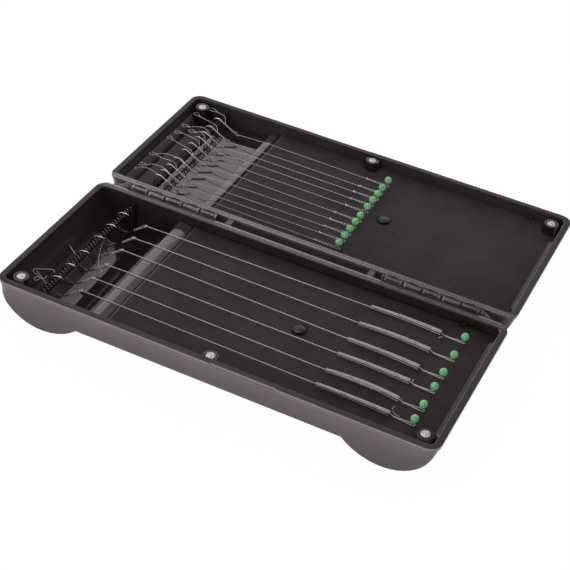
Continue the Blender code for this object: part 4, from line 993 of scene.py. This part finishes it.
def link_route(side, number, eye_side, pin, knot):
    """From the hook's eye over the ridge, through the sleeve if there is one, to the knot."""
    over_ridge = 0.55 * MM
    route = [eye_side + Vector((0, SIGN[side] * 0.9 * MM, 0)), eye_side + Vector((1.4 * MM, 0, 0.1 * MM))]
    if side == "base":
        low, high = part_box(f"base_sleeve_{number}")
        route.append(row_point(eye_side, pin, OVER_RIDGE[side], ridge_top + over_ridge))
        for s in np.linspace(0, 1, 13):
            aside = 4 * s * (1 - s) * SLEEVE_BOWS[number - 1] * MM
            route.append(row_point(eye_side, pin, low.x + (high.x - low.x) * s, (low.z + high.z) / 2, aside))
    else:
        route.append(row_point(eye_side, pin, OVER_RIDGE[side], knot.z))
    return route + [knot]


line_finish = braided_line()
thread_finish = whipping_thread()
knot_finish = knot_thread()
for side, count in PINS.items():
    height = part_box(side + "_foam")[1].z + LINK_HEIGHT
    for number in range(1, count + 1):
        hook = hooks[side, number]
        pin = box_middle(f"{side}_pin_{number}")
        seat = hook.shank_end - (hook.shank_end - hook.shank_start).normalized() * BOUND_LENGTH
        turns = BOUND_LENGTH / THREAD_PITCH
        whipping = coil_round(seat, hook.shank_end, HOOK_RADIUS + THREAD * 0.9, turns)
        bound_on = wound_wire(f"{side}_whipping_{number}", [whipping], thread_finish, THREAD, roundness=1)
        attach(bound_on, side)

        eye_side = hook.eye + hook.ahead * EYE_RADIUS
        knot = row_point(eye_side, pin, pin.x - KNOT_BACK[side][number - 1] * MM, height)
        half_width = LOOP_WIDTHS[side][number - 1] / 2 * MM
        loop = smooth_route(pin_loop(knot + Vector((LOOP_START, 0, 0)), pin, half_width, height))
        tied = barrel_knot(knot, knot + Vector((KNOT_LENGTH, 0, 0)), 3.5)
        eye_knot = coil_round(eye_side - hook.ahead * 0.1 * MM - Vector((0, 0.2 * MM, 0)),
                              eye_side + hook.ahead * EYE_KNOT_LENGTH, EYE_KNOT_RADIUS, 3)
        route = link_route(side, number, eye_side, pin, knot)
        link = wound_wire(f"{side}_link_{number}", [route, tied, loop, eye_knot], line_finish,
                          LINK_RADIUS[side], roundness=2)
        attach(link, side)
        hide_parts(f"{side}_rig_{number}")

        if side == "lid":
            lean = (-1) ** number
            bends = ((-1.1, lean * 1.0, 0.3), (0.2, lean * 0.2, 0.5), (1.5, -lean * 0.7, 0.4))
            tag = smooth_route([knot + Vector(bend) * MM for bend in bends])
            wrap = coil_round(knot - Vector((0.5 * MM, 0, 0)), knot + Vector((1.0 * MM, 0, 0)),
                              WRAP_RADIUS, 3)
            tie = wound_wire(f"lid_knot_{number}", [wrap, tag], knot_finish, TIE_RADIUS, roundness=2)
            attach(tie, "lid")

# Hairs
# The tag end of each small hook's line, led back over its bend and tied in a little loop for the
# bait. Two of them ended up curled round their own knots.
HAIRS = {
    1: (((-141.6, 29.6), (-149.1, 33.1), (-155.9, 33.3)), (-159.3, 29.9)),
    2: (((-130.3, 35.2), (-139.0, 38.8), (-149.9, 40.2), (-154.1, 37.5)), (-160.7, 37.8)),
    3: (((-136.1, 50.0), (-149.9, 52.1)), (-154.0, 54.5)),
    4: (((-134.6, 57.7), (-149.4, 58.5), (-154.9, 54.9)), (-161.5, 55.5)),
    5: (((-133.9, 73.2), (-149.8, 78.9), (-155.7, 81.7)), (-160.8, 85.0)),
    6: (((-135.3, 88.3), (-154.0, 94.1)), (-159.5, 93.3)),
    7: (((-137.6, 100.7), (-143.2, 98.8)), (-149.7, 100.4)),
    8: (((-138.2, 107.8), (-145.9, 107.6), (-152.9, 104.7)), (-159.0, 106.6)),
    9: (((-133.8, 117.3), (-148.9, 122.7), (-153.6, 124.7)), (-159.9, 128.7)),
    10: (((-133.8, 133.6), (-142.5, 136.4)), (-152.3, 140.3)),
}
HAIR_RADIUS = 0.23 * MM
LEAVES_SHANK = 0.36  # of its length from the bend
LEAVES_HIGH = 0.62 * MM
SHORTEST_LOOP = 5.0 * MM
LOOP_HALF_WIDTH = 2.0 * MM
NECK_WRAP = 1.6 * MM
NECK_RADIUS = 0.3 * MM


def hair_point(x, v):
    """A point of a hair, high over the hook's bend and lower towards the end wall and the eye."""
    top = 30.6
    level = (-141.0, -134.0)
    falls = (0.15, 0.42)  # on either side of the level stretch
    past = max(0.0, level[0] - x) * falls[0] + max(0.0, x - level[1]) * falls[1]
    return Vector((x, v, top - past)) * MM


def teardrop(neck, tip, half_width):
    along = tip - neck
    across = Vector((-along.y, along.x, 0)).normalized() * half_width
    shares = ((0.25, 0.55), (0.6, 1.0), (0.88, 0.75))
    out = [neck + along * s + across * w for s, w in shares]
    back = [neck + along * s - across * w for s, w in reversed(shares)]
    return [neck] + out + [tip] + back + [neck]


for number, (vias, tip) in HAIRS.items():
    start = hooks["lid", number].on_shank(LEAVES_SHANK) + Vector((0, 0, LEAVES_HIGH))
    points = [start] + [hair_point(*via) for via in vias]
    tip = hair_point(*tip)
    neck = points[-1]
    splines = [smooth_route(points)]
    if (tip - neck).length > SHORTEST_LOOP:
        splines.append(smooth_route(teardrop(neck, tip, LOOP_HALF_WIDTH), 0.3 * MM))
    else:
        splines[0] += smooth_route([neck, tip])
        splines.append(barrel_knot(tip, tip + Vector((-1.8 * MM, 0.4 * MM, 0)), 3))
    way = (neck - points[-2]).normalized()
    splines.append(coil_round(neck - way * NECK_WRAP, neck, NECK_RADIUS, 3))
    hair = wound_wire(f"lid_hair_{number}", splines, line_finish, HAIR_RADIUS, roundness=2)
    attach(hair, "lid")

# Anti-tangle sleeves
# A tapered tube of greyish clear rubber threaded on each of the base's links, its thick end towards
# the pin, and slightly bowed. A streaky painted highlight lies along its top, a band of painted shade
# under it, and painted light on its lower sides.
SLEEVE_TAPER = 0.6  # of the thick end's radius, at the thin end
SLEEVE_BORE = 0.34  # likewise
SLEEVE_LIP = 0.25 * MM
FULLER = {"thick": 0.25 * MM, "thin": 0.35 * MM}  # than the solid sleeve at that end


def sleeve_rubber():
    grey_colours = ((0.28, 0.268, 0.245), (0.37, 0.352, 0.325))
    streak_highlight_colour = (0.6, 0.58, 0.535)
    shaded_band_colour = (0.03, 0.026, 0.022)
    lit_lower_colour = (0.75, 0.73, 0.66)
    streak_stretch = (0.12, 1.0, 1.0)
    mat, shader, place = new_finish("sleeve_clear_rubber", 0.26, specular=0.6)
    upwards = axes_of(facing(place))["Z"]
    streaks = grain(vector_maths('MULTIPLY', place, streak_stretch), 0.5, 3.0)
    grey = clouds(place, 9.0, *grey_colours)
    lit = two_tones(spread(streaks, 0.0, 1.0), grey, streak_highlight_colour)
    # painted light: a streaky highlight on top, and a band of painted shade under it
    colour = two_tones(fade(upwards, 0.36, 0.58), shaded_band_colour, lit)
    # painted light on the lower sides
    colour = two_tones(fade(upwards, 0.08, -0.12), colour, lit_lower_colour)
    painted(shader, colour, spread(grain(place, 2.0, 3.0), 0.2, 0.36))
    relief(shader, grain(place, 6.0, 1.0), 0.02)
    return mat


def sleeve_tube(name, profile, length, bow, mat):
    """A tube along X whose rings shift sideways by the bow at mid length."""
    steps = 28
    bm = bmesh.new()
    rings = [[bm.verts.new((x, r * math.cos(a) + 4 * bow * x / length * (1 - x / length), r * math.sin(a)))
              for a in np.linspace(0, 2 * math.pi, steps, endpoint=False)] for r, x in profile]
    for one, two in zip(rings, rings[1:] + rings[:1]):
        for i in range(steps):
            j = (i + 1) % steps
            bm.faces.new((one[i], one[j], two[j], two[i]))
    return new_piece(name, bm, mat)


sleeve_finish = sleeve_rubber()
for number in range(1, PINS["base"] + 1):
    node = f"base_sleeve_{number}"
    low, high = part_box(node)
    solid_thick = (high.z - low.z) / 2
    solid_thin = SLEEVE_TAPER * solid_thick
    y_thin = low.y + solid_thin
    y_thick = high.y - solid_thick
    if hooks["base", number].eye.y > box_middle(f"base_pin_{number}").y:
        y_thin, y_thick = high.y - solid_thin, low.y + solid_thick
    thick = solid_thick + FULLER["thick"]
    thin = solid_thin + FULLER["thin"]
    bore = SLEEVE_BORE * solid_thick
    axis = Vector((high.x - low.x, y_thick - y_thin, 0))
    profile = [(bore, SLEEVE_LIP), (thin - SLEEVE_LIP, 0), (thin, SLEEVE_LIP)]
    profile += [(thin + (thick - thin) * s, axis.length * s) for s in np.linspace(0.05, 0.98, 12)]
    shoulder = axis.length - SLEEVE_LIP
    profile += [(thick, shoulder), (thick - SLEEVE_LIP, axis.length), (bore, shoulder)]
    sleeve = sleeve_tube(f"base_sleeve_tube_{number}", profile, axis.length,
                         SLEEVE_BOWS[number - 1] * MM, sleeve_finish)
    sleeve.location = (low.x, y_thin, (low.z + high.z) / 2)
    sleeve.rotation_euler = (0, 0, math.atan2(axis.y, axis.x))
    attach(sleeve, "base")
    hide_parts(node)

# Loose ends in the base
# Off-cuts and a spare loop left in the pocket by the end wall, and the ends and curled tags that
# stick up at the knots beside the pins. The thicker ones are thread, the others line.
LOOSE = {
    "spare_loop": ((-142.3, 114.0, 25.5), (-146.7, 111.2, 24.4), (-155.0, 114.9, 24.0),
                   (-158.3, 117.7, 24.0), (-155.6, 120.8, 24.3), (-151.4, 122.4, 24.6),
                   (-148.6, 124.4, 24.4), (-149.2, 126.8, 24.1), (-151.3, 127.1, 24.0),
                   (-152.2, 125.0, 24.0), (-150.6, 122.4, 23.8), (-146.4, 123.4, 24.0),
                   (-145.9, 119.0, 24.4)),
    "straight_offcut": ((-155.9, 116.9, 23.2), (-149.0, 121.4, 23.3), (-142.1, 126.1, 23.6)),
    "short_offcut": ((-149.8, 82.2, 26.0), (-145.2, 85.3, 25.6), (-140.8, 88.1, 25.2)),
    "curled_offcut": ((-135.8, 56.9, 19.4), (-133.8, 64.5, 19.8), (-129.3, 74.7, 20.0),
                      (-127.1, 79.0, 20.2), (-122.4, 85.9, 20.6), (-118.4, 89.9, 20.8),
                      (-117.2, 88.6, 20.8), (-117.4, 87.0, 20.6)),
    "knot_end": ((127.2, 33.7, 24.7), (127.9, 32.8, 24.9), (128.5, 31.5, 24.7)),
    "upright_tag": ((128.6, 87.7, 25.0), (128.4, 87.2, 26.2), (129.0, 86.7, 27.5)),
    "bent_tag": ((128.6, 106.0, 25.0), (127.6, 107.4, 25.4), (127.0, 109.3, 25.3), (126.2, 110.8, 24.7)),
    "long_tag": ((128.2, 117.6, 27.4), (127.3, 119.3, 26.8), (127.5, 121.3, 26.2), (129.0, 122.6, 25.6),
                 (131.3, 123.4, 25.1), (134.0, 123.4, 24.8)),
}
LOOSE_LINE_RADIUS = 0.2
THREAD_RADII = {"curled_offcut": 0.26, "knot_end": 0.5, "upright_tag": 0.38, "bent_tag": 0.26,
                "long_tag": 0.26}
for name, points in LOOSE.items():
    route = smooth_route([Vector((x, -v, z)) * MM for x, v, z in points])
    finish = thread_finish if name in THREAD_RADII else line_finish
    radius = THREAD_RADII.get(name, LOOSE_LINE_RADIUS) * MM
    bit = wound_wire("base_" + name, [route], finish, radius, roundness=2)
    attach(bit, "base")
